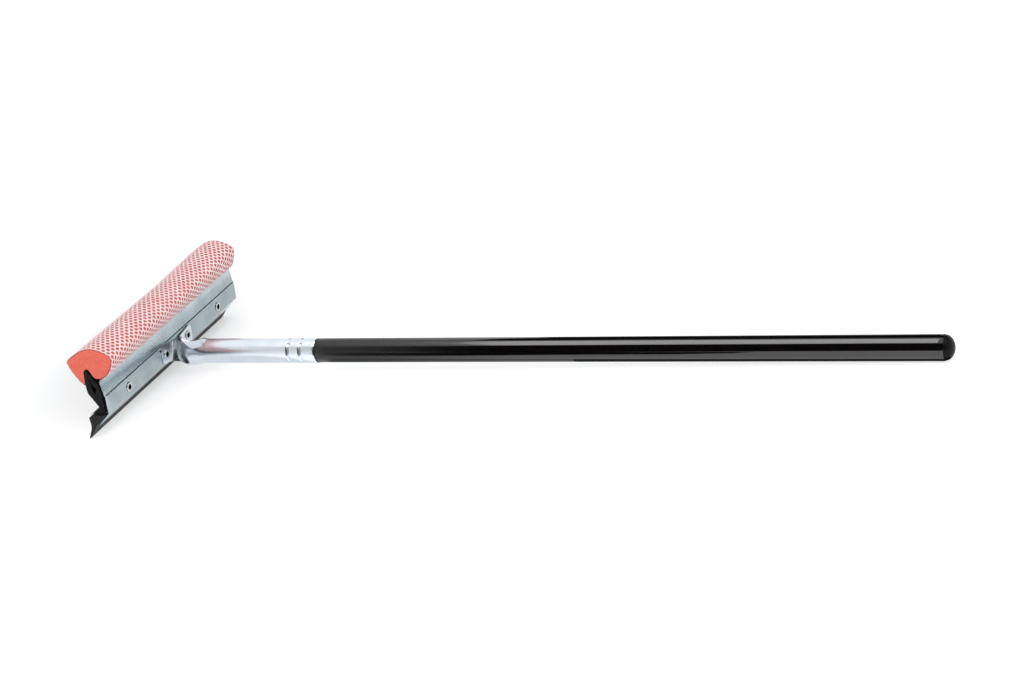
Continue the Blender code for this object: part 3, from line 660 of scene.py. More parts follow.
def bent(points: Outline, radius: float, steps: int) -> Outline:
    """Rounds the corners of an open path as a press brake does.

    Args:
        points: the path.
        radius: the bends' radius.
        steps: pieces of curve for each bend.

    Returns:
        The path with its bends.
    """
    path = [points[0]]
    for before, corner, after in zip(points, points[1:], points[2:]):
        back, ahead = (before - corner).normalized(), (after - corner).normalized()
        half = back.angle(ahead) / 2
        longest = BEND_SHARE * min((before - corner).length, (after - corner).length)
        reach = min(radius / math.tan(half), longest)
        start, end = corner + back * reach, corner + ahead * reach
        for step in range(steps + 1):
            share = step / steps
            path.append(start.lerp(corner, share).lerp(corner.lerp(end, share), share))
    path.append(points[-1])
    return path


@dataclass(frozen=True)
class Track:
    """A path that is read by the distance along it."""

    points: tuple[Vector, ...]
    marks: tuple[float, ...]

    @classmethod
    def along(cls, points: Outline) -> Track:
        """Makes the track of a path.

        Args:
            points: the path.

        Returns:
            Its track.
        """
        marks = [0.0]
        for start, end in zip(points, points[1:]):
            marks.append(marks[-1] + (end - start).length)
        return cls(tuple(points), tuple(marks))

    @property
    def length(self) -> float:
        """The track's whole length."""
        return self.marks[-1]

    def at(self, distance: float) -> Vector:
        """Reads the track.

        Args:
            distance: how far along it.

        Returns:
            The point there.
        """
        distance = min(max(distance, 0.0), self.length)
        index = 0
        while index < len(self.marks) - 2 and self.marks[index + 1] < distance:
            index += 1
        span = self.marks[index + 1] - self.marks[index]
        return self.points[index].lerp(self.points[index + 1], (distance - self.marks[index]) / span)


# Meshes and pieces


def placed(name: str, data: bpy.types.ID) -> bpy.types.Object:
    """Puts data in the scene as an object.

    Args:
        name: the object's name.
        data: its mesh, lamp or camera.

    Returns:
        The object.
    """
    thing = bpy.data.objects.new(name, data)
    bpy.context.scene.collection.objects.link(thing)
    return thing


def piece_from(name: str, mesh: bpy.types.Mesh, material: bpy.types.Material,
               node: str) -> bpy.types.Object:
    """Lays a mesh of the tool's own frame on the table, in the place of a plain solid.

    Args:
        name: the piece's name.
        mesh: its mesh, in the tool's frame.
        material: its finish.
        node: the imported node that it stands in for.

    Returns:
        The piece.
    """
    piece = placed(name, mesh)
    piece.matrix_world = ToolFrame().matrix()
    piece.data.materials.append(material)
    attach(piece, BODY)
    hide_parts(node)
    return piece


def modify(piece: bpy.types.Object, name: str, kind: str, **settings: Any) -> None:
    """Adds a modifier.

    Args:
        piece: the object.
        name: the modifier's name.
        kind: its type.
        settings: its settings.
    """
    modifier = piece.modifiers.new(name, kind)
    for key, value in settings.items():
        setattr(modifier, key, value)


def mesh_of(name: str, points: Sequence[Vector], faces: Sequence[Sequence[int]]) -> bpy.types.Mesh:
    """Makes a smooth mesh with its faces turned outwards.

    Args:
        name: the mesh's name.
        points: its points.
        faces: point numbers of each face.

    Returns:
        The mesh.
    """
    shell = bmesh.new()
    corners = [shell.verts.new(point) for point in points]
    for face in faces:
        shell.faces.new([corners[index] for index in face])
    bmesh.ops.recalc_face_normals(shell, faces=shell.faces)
    mesh = bpy.data.meshes.new(name)
    shell.to_mesh(mesh)
    shell.free()
    mesh.shade_smooth()
    return mesh


def tube_faces(rings: int, count: int, closed: bool = False) -> list[list[int]]:
    """Faces between closed rings of points that follow one another.

    Args:
        rings: how many rings.
        count: points in each.
        closed: whether the last ring joins the first.

    Returns:
        Point numbers of each face.
    """
    faces = []
    for ring in range(rings if closed else rings - 1):
        here, there = ring * count, (ring + 1) % rings * count
        for index in range(count):
            ahead = (index + 1) % count
            faces.append([here + index, here + ahead, there + ahead, there + index])
    return faces


# The sponge and its net


@dataclass(frozen=True)
class SpongeShape:
    """The section of the foam and how its ends draw in, shared by the foam and the net."""

    near_end: float = -102.4 * MM
    far_end: float = 96.4 * MM
    outer: Pairs = (
        (7.7, 42.48), (5.04, 43.63), (2.34, 47.28), (-0.48, 52.56), (-2.31, 57.11), (-3.19, 60.41),
        (-2.06, 62.77), (3.92, 66.49), (10.55, 70.02), (17.15, 71.5), (21.56, 71.36), (27.12, 69.84),
        (32.02, 67.34), (35.13, 64.74), (35.06, 61.65), (33.2, 57.17), (28.83, 51.49), (24.92, 48.62),
        (21.17, 47.15))
    curve_steps: int = 4
    slot: Pairs = (
        (17.0, 47.25), (16.2, 48.7), (14.5, 52.1), (13.6, 53.6), (12.3, 55.2), (11.5, 55.65), (10.8, 55.6),
        (10.2, 54.9), (9.7, 53.8), (9.3, 52.2), (8.9, 49.6), (8.5, 46.6), (8.2, 44.0), (8.0, 42.6))
    middle: tuple[float, float] = (16.0, 60.0)
    far_draw: float = 0.01
    far_reach: float = 6 * MM
    near_draw: float = 0.015
    near_reach: float = 2.5 * MM
    # the core holds the foam below this height, so that its ends draw in less there
    held_below: float = 46 * MM
    held_share: float = 0.4
    # the foam swells up towards the far end, where no rivet holds it down
    lift: tuple[float, float] = (-0.9 * MM, 1.9 * MM)
    lift_from: float = 15 * MM
    lift_foot: float = 50 * MM
    lift_rise: float = 12 * MM

    def curve(self) -> Outline:
        """The foam's outer curve, from its front edge over the top to its back edge."""
        return smooth(points_mm(self.outer), self.curve_steps)

    def drawn(self, point: Vector, along: float) -> Vector:
        """Draws a point of the section in towards its middle near the ends, and up towards the far one.

        Args:
            point: a point of the section.
            along: where it is along the head.

        Returns:
            The point in the tool's frame.
        """
        scale = 1.0
        for away, reach, draw in ((self.far_end - along, self.far_reach, self.far_draw),
                                  (along - self.near_end, self.near_reach, self.near_draw)):
            share = min(max(0.0, 1 - away / reach), 1.0)
            scale -= draw * (1 - math.sqrt(1 - share ** 2))
        if point.y < self.held_below:
            scale = 1.0 + (scale - 1.0) * self.held_share
        middle = Vector(self.middle) * MM
        moved = middle + (point - middle) * scale
        swell = eased((along - self.lift_from) / (self.far_end - self.lift_from))
        moved += Vector(self.lift) * swell * eased((point.y - self.lift_foot) / self.lift_rise)
        return Vector((moved.x, along, moved.y))


@dataclass
class FoamSponge:
    """The foam block in the net."""

    shape: SpongeShape = SpongeShape()
    swell: float = 0.2 * MM
    station_spacing: float = 3 * MM
    near_edge_radius: float = 3.0 * MM
    far_edge_radius: float = 1.3 * MM
    voxel: float = 1.1 * MM
    pore_size: float = 1.3 * MM
    pore_depth: float = 0.28 * MM
    # the noise is cut off here, so that pores sink in and nothing stands out
    pore_rim: float = 0.15
    # soft hollows: how many pores wide, and how deep for a pore's depth
    hollow_size: float = 9
    hollow_share: float = 0.6
    fill: float = 0.9

    def build(self) -> bpy.types.Mesh:
        """Makes the foam, with its rounded ends and its pores.

        Returns:
            The mesh, in the tool's frame.
        """
        shape = self.shape
        outline = offset(shape.curve(), self.swell) + points_mm(shape.slot)
        near, far = shape.near_end, shape.far_end
        turns = [math.radians(30 * step) for step in range(4)]
        stations = [(near + self.near_edge_radius * (1 - math.cos(turn)),
                     self.near_edge_radius * (1 - math.sin(turn))) for turn in turns]
        count = round((far - near) / self.station_spacing)
        stations += [(near + (far - near) * step / count, 0.0) for step in range(1, count)]
        stations += [(far - self.far_edge_radius * (1 - math.sin(turn)),
                      self.far_edge_radius * (1 - math.cos(turn))) for turn in turns]
        middle = Vector(shape.middle) * MM
        points = []
        for along, inset in stations:
            points += [shape.drawn(point + (middle - point).normalized() * inset, along) for point in outline]
        size = len(outline)
        faces = tube_faces(len(stations), size)
        faces += [list(range(size)), list(range(len(points) - size, len(points)))]
        return self.roughen(mesh_of("foam", points, faces))

    def roughen(self, mesh: bpy.types.Mesh) -> bpy.types.Mesh:
        """Remeshes the foam finely and sinks its pores.

        Args:
            mesh: the smooth foam.

        Returns:
            The foam with pores.
        """
        block = placed("foam_block", mesh)
        modify(block, "voxels", "REMESH", mode="VOXEL", voxel_size=self.voxel)
        graph = bpy.context.evaluated_depsgraph_get()
        fine = bpy.data.meshes.new_from_object(block.evaluated_get(graph))
        bpy.data.objects.remove(block)
        fine.name = "foam"
        normals = [vertex.normal.copy() for vertex in fine.vertices]
        for vertex, normal in zip(fine.vertices, normals):
            pore = min(noise.noise(vertex.co / self.pore_size), self.pore_rim)
            hollow = noise.noise(vertex.co / (self.pore_size * self.hollow_size))
            vertex.co += normal * (pore + hollow * self.hollow_share) * self.pore_depth
        fine.shade_smooth()
        return fine

    def dress(self) -> bpy.types.Object:
        """Puts the foam in the scene.

        Returns:
            The foam.
        """
        piece = piece_from("foam_sponge", self.build(), OpenCellFoam().build(), "sponge")
        return piece


@dataclass
class NetSleeve:
    """The net around the foam: hexagonal meshes in columns along the head, each column half a mesh on."""

    shape: SpongeShape = SpongeShape()
    column_spacing: float = 3.35 * MM
    mesh_pitch: float = 4.1 * MM
    # the first hole's middle and what is left bare at the far end, in columns or rows
    first_column: float = 1.15
    first_row: float = 0.75
    far_margin: float = 0.65
    hole_share: float = 0.67
    hole_spread: float = 0.08
    wander: float = 0.22 * MM
    # how far apart the holes of two columns or rows read the noise, and from where a hole's other draws start
    noise_step: tuple[float, float] = (0.37, 0.41)
    noise_start: float = 2.0
    girth_draw: Spot = (9.0, 3.0, 1.0)
    size_draw: float = 2.3
    thickness: float = 0.45 * MM
    lift: float = 0.32 * MM
    tail: Pairs = ((19.75, 36.0), (19.65, 40.5), (19.45, 45.3))
    front: Pairs = (
        (7.98, 40.6), (8.05, 38.2), (8.5, 35.9), (9.9, 33.2), (10.8, 31.9), (11.6, 31.2), (14.3, 31.0))

    @property
    def span(self) -> float:
        """The net's length along the head."""
        return self.shape.far_end - self.shape.near_end

    def track(self) -> Track:
        """The net's path around the foam, from the plate over the top to the front bar."""
        around = offset(self.shape.curve(), self.lift)[::-1]
        return Track.along(points_mm(self.tail) + around + points_mm(self.front))

    def build(self) -> bpy.types.Mesh:
        """Knits the net.

        Returns:
            The mesh, in the tool's frame.
        """
        track = self.track()
        spacing, pitch = self.column_spacing, self.mesh_pitch
        columns = int(self.span / spacing - self.far_margin)
        rows = int(track.length / pitch) - 1
        reach = spacing / 2 + pitch ** 2 / (8 * spacing)
        flat = spacing - reach
        corners = [(reach, 0.0), (flat, pitch / 2), (-flat, pitch / 2), (-reach, 0.0), (-flat, -pitch / 2),
                   (flat, -pitch / 2)]
        points: list[Vector] = []
        cells: dict[tuple[int, int], int] = {}
        for column in range(-1, columns + 1):
            for row in range(-1, rows + 1):
                seed = Vector((column * self.noise_step[0], row * self.noise_step[1], self.noise_start))
                middle_along = self.shape.near_end + (column + self.first_column) * spacing
                middle_along += noise.noise(seed) * self.wander
                middle_girth = (row + self.first_row + 0.5 * (column % 2)) * pitch
                middle_girth += noise.noise(seed + Vector(self.girth_draw)) * self.wander
                share = self.hole_share * (1 + self.hole_spread * noise.noise(seed * self.size_draw))
                cells[column, row] = len(points)
                points += [self.shape.drawn(track.at(middle_girth + girth * share),
                                            middle_along + along * share) for along, girth in corners]
        faces = self.strands(cells, {key for key in cells if 0 <= key[0] < columns and 0 <= key[1] < rows})
        used = sorted({index for face in faces for index in face})
        number = {index: position for position, index in enumerate(used)}
        return mesh_of("net", [points[index] for index in used],
                       [[number[index] for index in face] for face in faces])

    def strands(self, cells: Mapping[tuple[int, int], int], real: set[tuple[int, int]]) -> list[list[int]]:
        """Joins the holes' rims with strands and knots.

        Args:
            cells: the number of each hole's first point.
            real: the holes that count; those beside them only give the border strands their outer edge.

        Returns:
            Point numbers of each face.
        """
        faces = []
        sides = (((0, 1), (4, 3)), ((1, 2), (5, 4)), ((2, 3), (0, 5)))
        for (column, row), first in cells.items():
            up = row + column % 2
            beside = right, above, left = (column + 1, up), (column, row + 1), (column - 1, up)
            for other, (here, there) in zip(beside, sides):
                if other in cells and {(column, row), other} & real:
                    far = cells[other]
                    faces.append([first + here[0], first + here[1], far + there[1], far + there[0]])
            for corner, pair, ends in ((1, (right, above), (3, 5)), (2, (above, left), (4, 0))):
                if all(other in cells for other in pair) and {(column, row), *pair} & real:
                    faces.append([first + corner] + [cells[other] + end for other, end in zip(pair, ends)])
        return faces

    def dress(self, foam: bpy.types.Object) -> bpy.types.Object:
        """Puts the net in the scene.

        Args:
            foam: the foam that it is stretched over; not used.

        Returns:
            The net.
        """
        mesh = self.build()
        piece = piece_from("net_stretched", mesh, KnittedNet().build(), "net_sleeve")
        modify(piece, "yarn", "SOLIDIFY", thickness=self.thickness, offset=1.0)
        modify(piece, "rounded", "SUBSURF", levels=1, render_levels=1)
        self.track().length
        return piece


# The handle


@dataclass
class Handle:
    """The turned and lacquered dowel."""

    radius: float = 9.15 * MM
    spigot_start: float = 84.3 * MM
    spigot_radius: float = 7.5 * MM
    spigot_chamfer: tuple[float, float] = (1.0 * MM, 0.3 * MM)
    shoulder: float = 146.6 * MM
    shoulder_round: float = 0.5 * MM
    shoulder_steps: int = 4
    cylinder_end: float = 614.3 * MM
    cylinder_rings: int = 60
    dome_length: float = 6.6 * MM
    dome_step: float = 0.4 * MM
    dome_steps: int = 15
    # the fine step where the dome starts, as distance along and off the cylinder or the dome
    step_edge: Pairs = ((-0.25 * MM, 0.0), (-0.05 * MM, -0.1 * MM), (0.05 * MM, 0.05 * MM))
    sides: int = 128
    # the dowel is hand sanded: a few hundredths of a millimetre out of round, but for the rings at its ends
    ripple: float = 0.03 * MM
    plain_rings: int = 4
    # how fast the ripple changes along the dowel and around it
    ripple_rate: tuple[float, float] = (30.0, 0.8)
    sharp_angle: float = 50.0

    def profile(self) -> Outline:
        """The turned outline, from the spigot to the dome, as distance along and radius.

        Returns:
            Its points.
        """
        length, depth = self.spigot_chamfer
        outline = [(self.spigot_start, self.spigot_radius - depth),
                   (self.spigot_start + length, self.spigot_radius), (self.shoulder, self.spigot_radius)]
        for step in range(self.shoulder_steps + 1):
            turn = math.radians(90 * step / self.shoulder_steps)
            outline.append((self.shoulder + self.shoulder_round * (1 - math.cos(turn)),
                            self.radius - self.shoulder_round * (1 - math.sin(turn))))
        start = self.shoulder + self.shoulder_round
        outline += [(start + (self.cylinder_end - start) * step / self.cylinder_rings, self.radius)
                    for step in range(1, self.cylinder_rings)]
        dome_radius = self.radius - self.dome_step
        outline += [(self.cylinder_end + along, base + off) for base, (along, off)
                    in zip((self.radius, self.radius, dome_radius), self.step_edge)]
        for step in range(self.dome_steps):
            turn = math.radians(90 * step / self.dome_steps)
            outline.append((self.cylinder_end + self.dome_length * math.sin(turn),
                            dome_radius * math.cos(turn)))
        return [Vector(point) for point in outline]

    def build(self) -> bpy.types.Mesh:
        """Turns the dowel.

        Returns:
            The mesh, in the tool's frame.
        """
        outline = self.profile()
        along_rate, around_rate = self.ripple_rate
        points = []
        for index, ring in enumerate(outline):
            sanded = self.plain_rings <= index < len(outline) - self.plain_rings
            for side in range(self.sides):
                turn = heading(360 * side / self.sides)
                spot = Vector((ring.x * along_rate, turn.x * around_rate, turn.y * around_rate))
                ripple = noise.noise(spot) * self.ripple
                reach = ring.y + (ripple if sanded else 0.0)
                points.append(Vector((ring.x, SIDE_SHIFT + turn.x * reach, AXIS_HEIGHT + turn.y * reach)))
        faces = tube_faces(len(outline), self.sides)
        faces.append(list(range(self.sides)))
        tip = len(points)
        points.append(Vector((self.cylinder_end + self.dome_length, SIDE_SHIFT, AXIS_HEIGHT)))
        last = tip - self.sides
        faces += [[last + side, last + (side + 1) % self.sides, tip] for side in range(self.sides)]
        mesh = mesh_of("handle", points, faces)
        mesh.set_sharp_from_angle(angle=math.radians(self.sharp_angle))
        return mesh

    def dress(self) -> bpy.types.Object:
        """Puts the handle in the scene."""
        return piece_from("handle_dowel", self.build(), GlossLacquer().build(), "handle")


# The rivets' row, and the holes for them


@dataclass(frozen=True)
class RivetRow:
    """The row that all the rivets stand in, square to the back plate."""

    setback: float = 21.6 * MM
    height: float = 25.5 * MM
    lean: float = 5.1
    hole_radius: float = 2.9 * MM
    drill_length: float = 30 * MM
    drill_sides: int = 48

    def pose(self, along: float) -> Matrix:
        """The pose of a rivet, with X along its axis out of the back plate."""
        return (Matrix.Translation((self.setback, along, self.height))
                @ Matrix.Rotation(math.radians(self.lean), 4, "Y"))

    def drill(self, piece: bpy.types.Object, along: float) -> None:
        """Cuts a rivet's hole through a piece.

        Args:
            piece: the piece, in the tool's frame.
            along: where the rivet is along the head.
        """
        name = f"rivet_drill_{round(along / MM * 10)}"
        drill = bpy.data.objects.get(name)
        if drill is None:
            shell = bmesh.new()
            bmesh.ops.create_cone(shell, cap_ends=True, segments=self.drill_sides, radius1=self.hole_radius,
                                  radius2=self.hole_radius, depth=self.drill_length,
                                  matrix=self.pose(along) @ Matrix.Rotation(math.pi / 2, 4, "Y"))
            mesh = bpy.data.meshes.new(name)
            shell.to_mesh(mesh)
            shell.free()
            drill = placed(name, mesh)
            drill.matrix_world = ToolFrame().matrix()
            drill.hide_render = True
        modify(piece, name, "BOOLEAN", operation="DIFFERENCE", solver="EXACT", object=drill)


@dataclass(frozen=True)
class RivetPlace:
    """Where a rivet sits and how far its head stands off the plate."""

    name: str
    node: str
    along: float
    reach: float


ROW = RivetRow()
RIVETS = (
    RivetPlace("rivet_head_inner_near", "rivet_inner_near", -15.15 * MM, 1.2 * MM),
    RivetPlace("rivet_head_inner_far", "rivet_inner_far", 18.35 * MM, 1.2 * MM),
    RivetPlace("rivet_head_outer_near", "rivet_outer_near", -70.6 * MM, 0.0),
    RivetPlace("rivet_head_outer_far", "rivet_outer_far", 70.6 * MM, 0.0),
)


# The ferrule


@dataclass(frozen=True)
class StripEdge:
    """How the top edge of one strip of the opened tube runs."""

    side: int
    top_angle: float
    rise: float
    dip_share: float
    root_share: float
    columns: int
    flare: float
    curl: float


@dataclass
class Ferrule:
    """The zinc-plated tube: crimped on to the handle, cut open in front and spread into two riveted ears."""

    radius: float = 9.525 * MM
    wall: float = 0.9 * MM
    edge_round: float = 0.12 * MM
    end: float = 146.3 * MM
    notch: float = 50.2 * MM
    neck_end: float = 28.0 * MM
    ear_face: float = 22.8 * MM
    rivet_spacing: float = 33.5 * MM
    neck_pinch: float = 4.3 * MM
    neck_splay: float = 23.0
    neck_ease: float = 1.5
    cup_radius: float = 7.0 * MM
    cup_turn: float = 52.0
    ear_margin: float = 6.4 * MM
    ear_height: float = 13.8 * MM
    ear_root_rise: float = 5.2 * MM
    ear_corner: float = 3.5 * MM
    facet_start: float = 30.5 * MM
    facet_end: float = 39.0 * MM
    far: StripEdge = StripEdge(1, 60.0, 0.6 * MM, 0.85, 1.35, 50, 0.0, 0.0)
    near: StripEdge = StripEdge(-1, 50.0, 2.6 * MM, 0.55, 1.0, 46, 0.17, 1.5 * MM)
    top_columns: int = 24
    neck_rows: int = 40
    bend_rows: int = 24
    ear_rows: int = 26
    plain_spacing: float = 1.5 * MM
    crimp_setbacks: tuple[float, float] = (12.0 * MM, 22.4 * MM)
    crimp_depth: float = 0.9 * MM
    crimp_half_width: float = 1.7 * MM
    crimp_span: float = 100.0
    crimp_fade: float = 9.0
    crimp_first: float = 164.0
    crimp_count: int = 3
    crimp_spacing: float = 0.22 * MM
    sharp_angle: float = 25.0
    edge_angle: float = 50.0

    @property
    def neck_length(self) -> float:
        """The neck's length along the handle."""
        return self.notch - self.neck_end

    def pressed(self, along: float, angle: float) -> float:
        """How far the tube is pressed in by the crimps.

        Args:
            along: place along the handle.
            angle: place around the tube, from the far side over the top.

        Returns:
            The depth.
        """
        pitch = 360 / self.crimp_count
        away = abs((angle - self.crimp_first + pitch / 2) % pitch - pitch / 2)
        window = eased((self.crimp_span / 2 - away) / self.crimp_fade)
        shares = [abs(along - self.end + setback) / self.crimp_half_width for setback in self.crimp_setbacks]
        bell = sum((1 + math.cos(math.pi * min(share, 1))) / 2 for share in shares)
        return self.crimp_depth * bell * window

    def stations(self) -> list[float]:
        """Places along the tube that get a ring of points.

        Returns:
            The places, from the tube's end to the notch, close together at the crimps.
        """
        found = [self.end]
        while found[-1] > self.notch:
            near_crimp = any(abs(found[-1] - self.end + setback) < self.crimp_half_width + self.plain_spacing
                             for setback in self.crimp_setbacks)
            found.append(found[-1] - (self.crimp_spacing if near_crimp else self.plain_spacing))
        found[-1] = self.notch
        return found

    def strip_path(self) -> list[tuple[float, Vector, Vector, float]]:
        """One strip seen from above.

        Returns:
            For each row the distance along the strip, a point of its outer face, that face's normal and how
            much of the cup's shape it has.
        """
        ratio = self.neck_ease * self.neck_pinch / self.neck_length
        crease = Vector((self.ear_face + self.cup_radius * (1 - math.cos(math.radians(self.cup_turn))), 0.0))
        crease.y = self.radius - self.neck_pinch - ratio * (self.neck_end - crease.x)
        centre = crease + heading(self.cup_turn) * self.cup_radius
        flat = self.neck_length + (self.neck_end - crease.x) * math.sqrt(1 + ratio ** 2)
        arc = self.cup_radius * math.radians(self.cup_turn)
        ear = self.rivet_spacing / 2 + self.ear_margin - centre.y
        path = []
        for row in range(1, self.neck_rows + 1):
            share = row / self.neck_rows
            slope = math.degrees(math.atan(ratio * share ** (self.neck_ease - 1)))
            spot = Vector((self.notch - self.neck_length * share,
                           self.radius - self.neck_pinch * share ** self.neck_ease))
            path.append((self.neck_length * share, spot, heading(90 + slope), eased(2 * share - 1)))
        square = path[-1][2]
        path.append((flat, crease, square, 1.0))
        for row in range(1, self.bend_rows + 1):
            share = row / self.bend_rows
            outward = heading(self.cup_turn * (1 - share))
            path.append((flat + arc * share, centre - outward * self.cup_radius, outward, 1 - eased(share)))
        for row in range(1, self.ear_rows + 1):
            travel = ear * math.sin(math.radians(90 * row / self.ear_rows))
            spot = Vector((self.ear_face, centre.y + travel))
            path.append((flat + arc + travel, spot, heading(0), 0.0))
        return path

    def strip_edges(self, edge: StripEdge, travel: float, whole: float) -> tuple[float, float]:
        """Where a row of a strip starts and ends, measured around the tube.

        Args:
            edge: the strip's side and the run of its top edge.
            travel: the row's distance along the strip.
            whole: the strip's length.

        Returns:
            The row's bottom and top edge.
        """
        half = self.ear_height / 2
        dip, root = self.neck_length * edge.dip_share, self.neck_length * edge.root_share
        corner = min((whole - travel) / self.ear_corner, 1.0)
        trim = self.ear_corner * (1 - math.sqrt(1 - (1 - corner) ** 2))
        start = -math.radians(90) * self.radius
        low = start - (half + start) * eased(travel / whole) + trim
        top = math.radians(edge.top_angle) * self.radius
        high = top + (edge.rise - top) * eased(travel / dip)
        high += (self.ear_root_rise - edge.rise) * eased((travel - dip) / (root - dip))
        high += (half - self.ear_root_rise) * eased((travel - root) / (whole - root)) - trim
        return low, high

    def strip(self, edge: StripEdge) -> list[list[Vector]]:
        """One strip of the opened tube.

        Args:
            edge: the strip's side and the run of its top edge.

        Returns:
            Its rows of points, each from the bottom edge to the top edge.
        """
        path = self.strip_path()
        whole = path[-1][0]
        rows = []
        for travel, spot, outward, scooped in path:
            low, high = self.strip_edges(edge, travel, whole)
            settled = eased(travel / self.neck_length)
            roll = 1 - settled
            lean = math.tan(math.radians(ROW.lean)) * settled
            splay = math.tan(math.radians(self.neck_splay)) * settled * settled
            splay *= 1 - eased((travel - self.neck_length) / (whole - self.neck_length))
            height = AXIS_HEIGHT + (ROW.height - AXIS_HEIGHT) * settled
            row = []
            for column in range(edge.columns + 1):
                share = column / edge.columns
                inward, rise = 0.0, low + (high - low) * share
                if roll > 1e-4:
                    swing = rise * roll / self.radius
                    inward = self.radius / roll * (math.cos(swing) - 1)
                    rise = self.radius / roll * math.sin(swing)
                point = spot + outward * inward
                onset = self.facet_start + (self.facet_end - self.facet_start) * share
                point.y += max(0.0, onset - point.x) * edge.flare * scooped
                point.x += edge.curl * scooped * (min(0.0, rise) / (self.ear_height / 2)) ** 2
                row.append(Vector((point.x + rise * lean, edge.side * (point.y - rise * splay) + SIDE_SHIFT,
                                   height + rise)))
            rows.append(row)
        return rows

    def angles(self) -> list[float]:
        """Angles of the tube's points, from its bottom round by the far side, the notch and the near side."""
        stops = (-90, self.far.top_angle, 180 - self.near.top_angle, 270)
        counts = (self.far.columns, self.top_columns, self.near.columns)
        return [start + (end - start) * column / count
                for start, end, count in zip(stops, stops[1:], counts) for column in range(count)]

    def build(self) -> bpy.types.Mesh:
        """Forms the ferrule's outer skin.

        Returns:
            The mesh, in the tool's frame.
        """
        stations, angles = self.stations(), self.angles()
        points = []
        for along in stations:
            for angle in angles:
                across = heading(angle) * (self.radius - self.pressed(along, angle))
                points.append(Vector((along, across.x + SIDE_SHIFT, AXIS_HEIGHT + across.y)))
        count = len(angles)
        faces = tube_faces(len(stations), count)
        last = (len(stations) - 1) * count
        far_edge = [last + column for column in range(self.far.columns + 1)]
        near_edge = [last + (count - column) % count for column in range(self.near.columns + 1)]
        for edge, before in ((self.far, far_edge), (self.near, near_edge)):
            for row in self.strip(edge):
                here = list(range(len(points), len(points) + len(row)))
                points += row
                faces += [[before[column], before[column + 1], here[column + 1], here[column]]
                          for column in range(edge.columns)]
                before = here
        mesh = mesh_of("ferrule", points, faces)
        mesh.set_sharp_from_angle(angle=math.radians(self.sharp_angle))
        return mesh

    def dress(self) -> bpy.types.Object:
        """Puts the ferrule in the scene.

        Returns:
            The ferrule.
        """
        zinc = ZincTube("bright_zinc_tube").build()
        piece = piece_from("ferrule_tube", self.build(), zinc, "ferrule")
        modify(piece, "wall", "SOLIDIFY", thickness=self.wall, offset=-1.0, use_even_offset=True)
        for side in (-1, 1):
            ROW.drill(piece, SIDE_SHIFT + side * self.rivet_spacing / 2)
        modify(piece, "edge", "BEVEL", width=self.edge_round, segments=2, limit_method="ANGLE",
               angle_limit=math.radians(self.edge_angle))
        return piece


# The rivets


@dataclass
class TubularRivet:
    """A tubular rivet, its mouth rolled over and a little uneven."""

    place: RivetPlace
    shank: float = 2.6 * MM
    bore: float = 2.1 * MM
    flange: float = 0.9 * MM
    roll: float = 0.75 * MM
    stack: float = 8.7 * MM
    seat: float = 0.06 * MM
    unevenness: float = 0.09
    # how fast the noise changes around the mouth, and from rivet to rivet
    uneven_rate: tuple[float, float] = (1.6, 40.0)
    mouth_rise: float = 1 * MM
    roll_step: int = 15
    # the faces of the section that line the bore
    bore_faces: range = range(17, 22)
    sides: int = 64

    def profile(self) -> Outline:
        """The ring's closed section.

        Returns:
            Its points, as distance out of the plate and radius.
        """
        half = self.roll / 2
        section = []
        for face, outward in ((self.place.reach + self.seat, 1), (-self.stack - self.seat, -1)):
            outer = Vector((face + outward * half, self.shank + self.flange - half))
            inner = Vector((face + outward * half, self.bore + half))
            bend = [Vector((face, self.shank)), Vector((face, outer.y))]
            for middle, start, steps in ((outer, -90, 12), (inner, 90, 6)):
                for step in range(1, steps + 1):
                    turn = heading(start + self.roll_step * step)
                    bend.append(middle + Vector((outward * turn.y * half, turn.x * half)))
            section += bend[::outward]
        return section

    def build(self) -> bpy.types.Mesh:
        """Turns the rivet and sets its mouth a little uneven.

        Returns:
            The mesh, in the tool's frame.
        """
        section = self.profile()
        frame = ROW.pose(self.place.along)
        around_rate, along_rate = self.uneven_rate
        points = []
        for side in range(self.sides):
            turn = heading(360 * side / self.sides)
            spot = Vector((turn.x * around_rate, turn.y * around_rate, self.place.along * along_rate))
            uneven = noise.noise(spot) * self.unevenness
            for point in section:
                head = max(0.0, point.x / (self.place.reach + self.seat + self.roll))
                radius = point.y * (1 + uneven * head)
                rise = self.mouth_rise * uneven * head
                points.append(frame @ Vector((point.x + rise, turn.x * radius, turn.y * radius)))
        mesh = mesh_of(self.place.name, points, tube_faces(self.sides, len(section), closed=True))
        # the faces that line the bore take the second finish, the painted shade
        for number, face in enumerate(mesh.polygons):
            face.material_index = int(number % len(section) in self.bore_faces)
        return mesh

    def dress(self, zinc: bpy.types.Material, dark: bpy.types.Material) -> bpy.types.Object:
        """Puts the rivet in the scene.

        Args:
            zinc: its finish.
            dark: the painted shade inside its bore.

        Returns:
            The rivet.
        """
        piece = piece_from(self.place.name, self.build(), zinc, self.place.node)
        piece.data.materials.append(dark)
        return piece


# The back plate


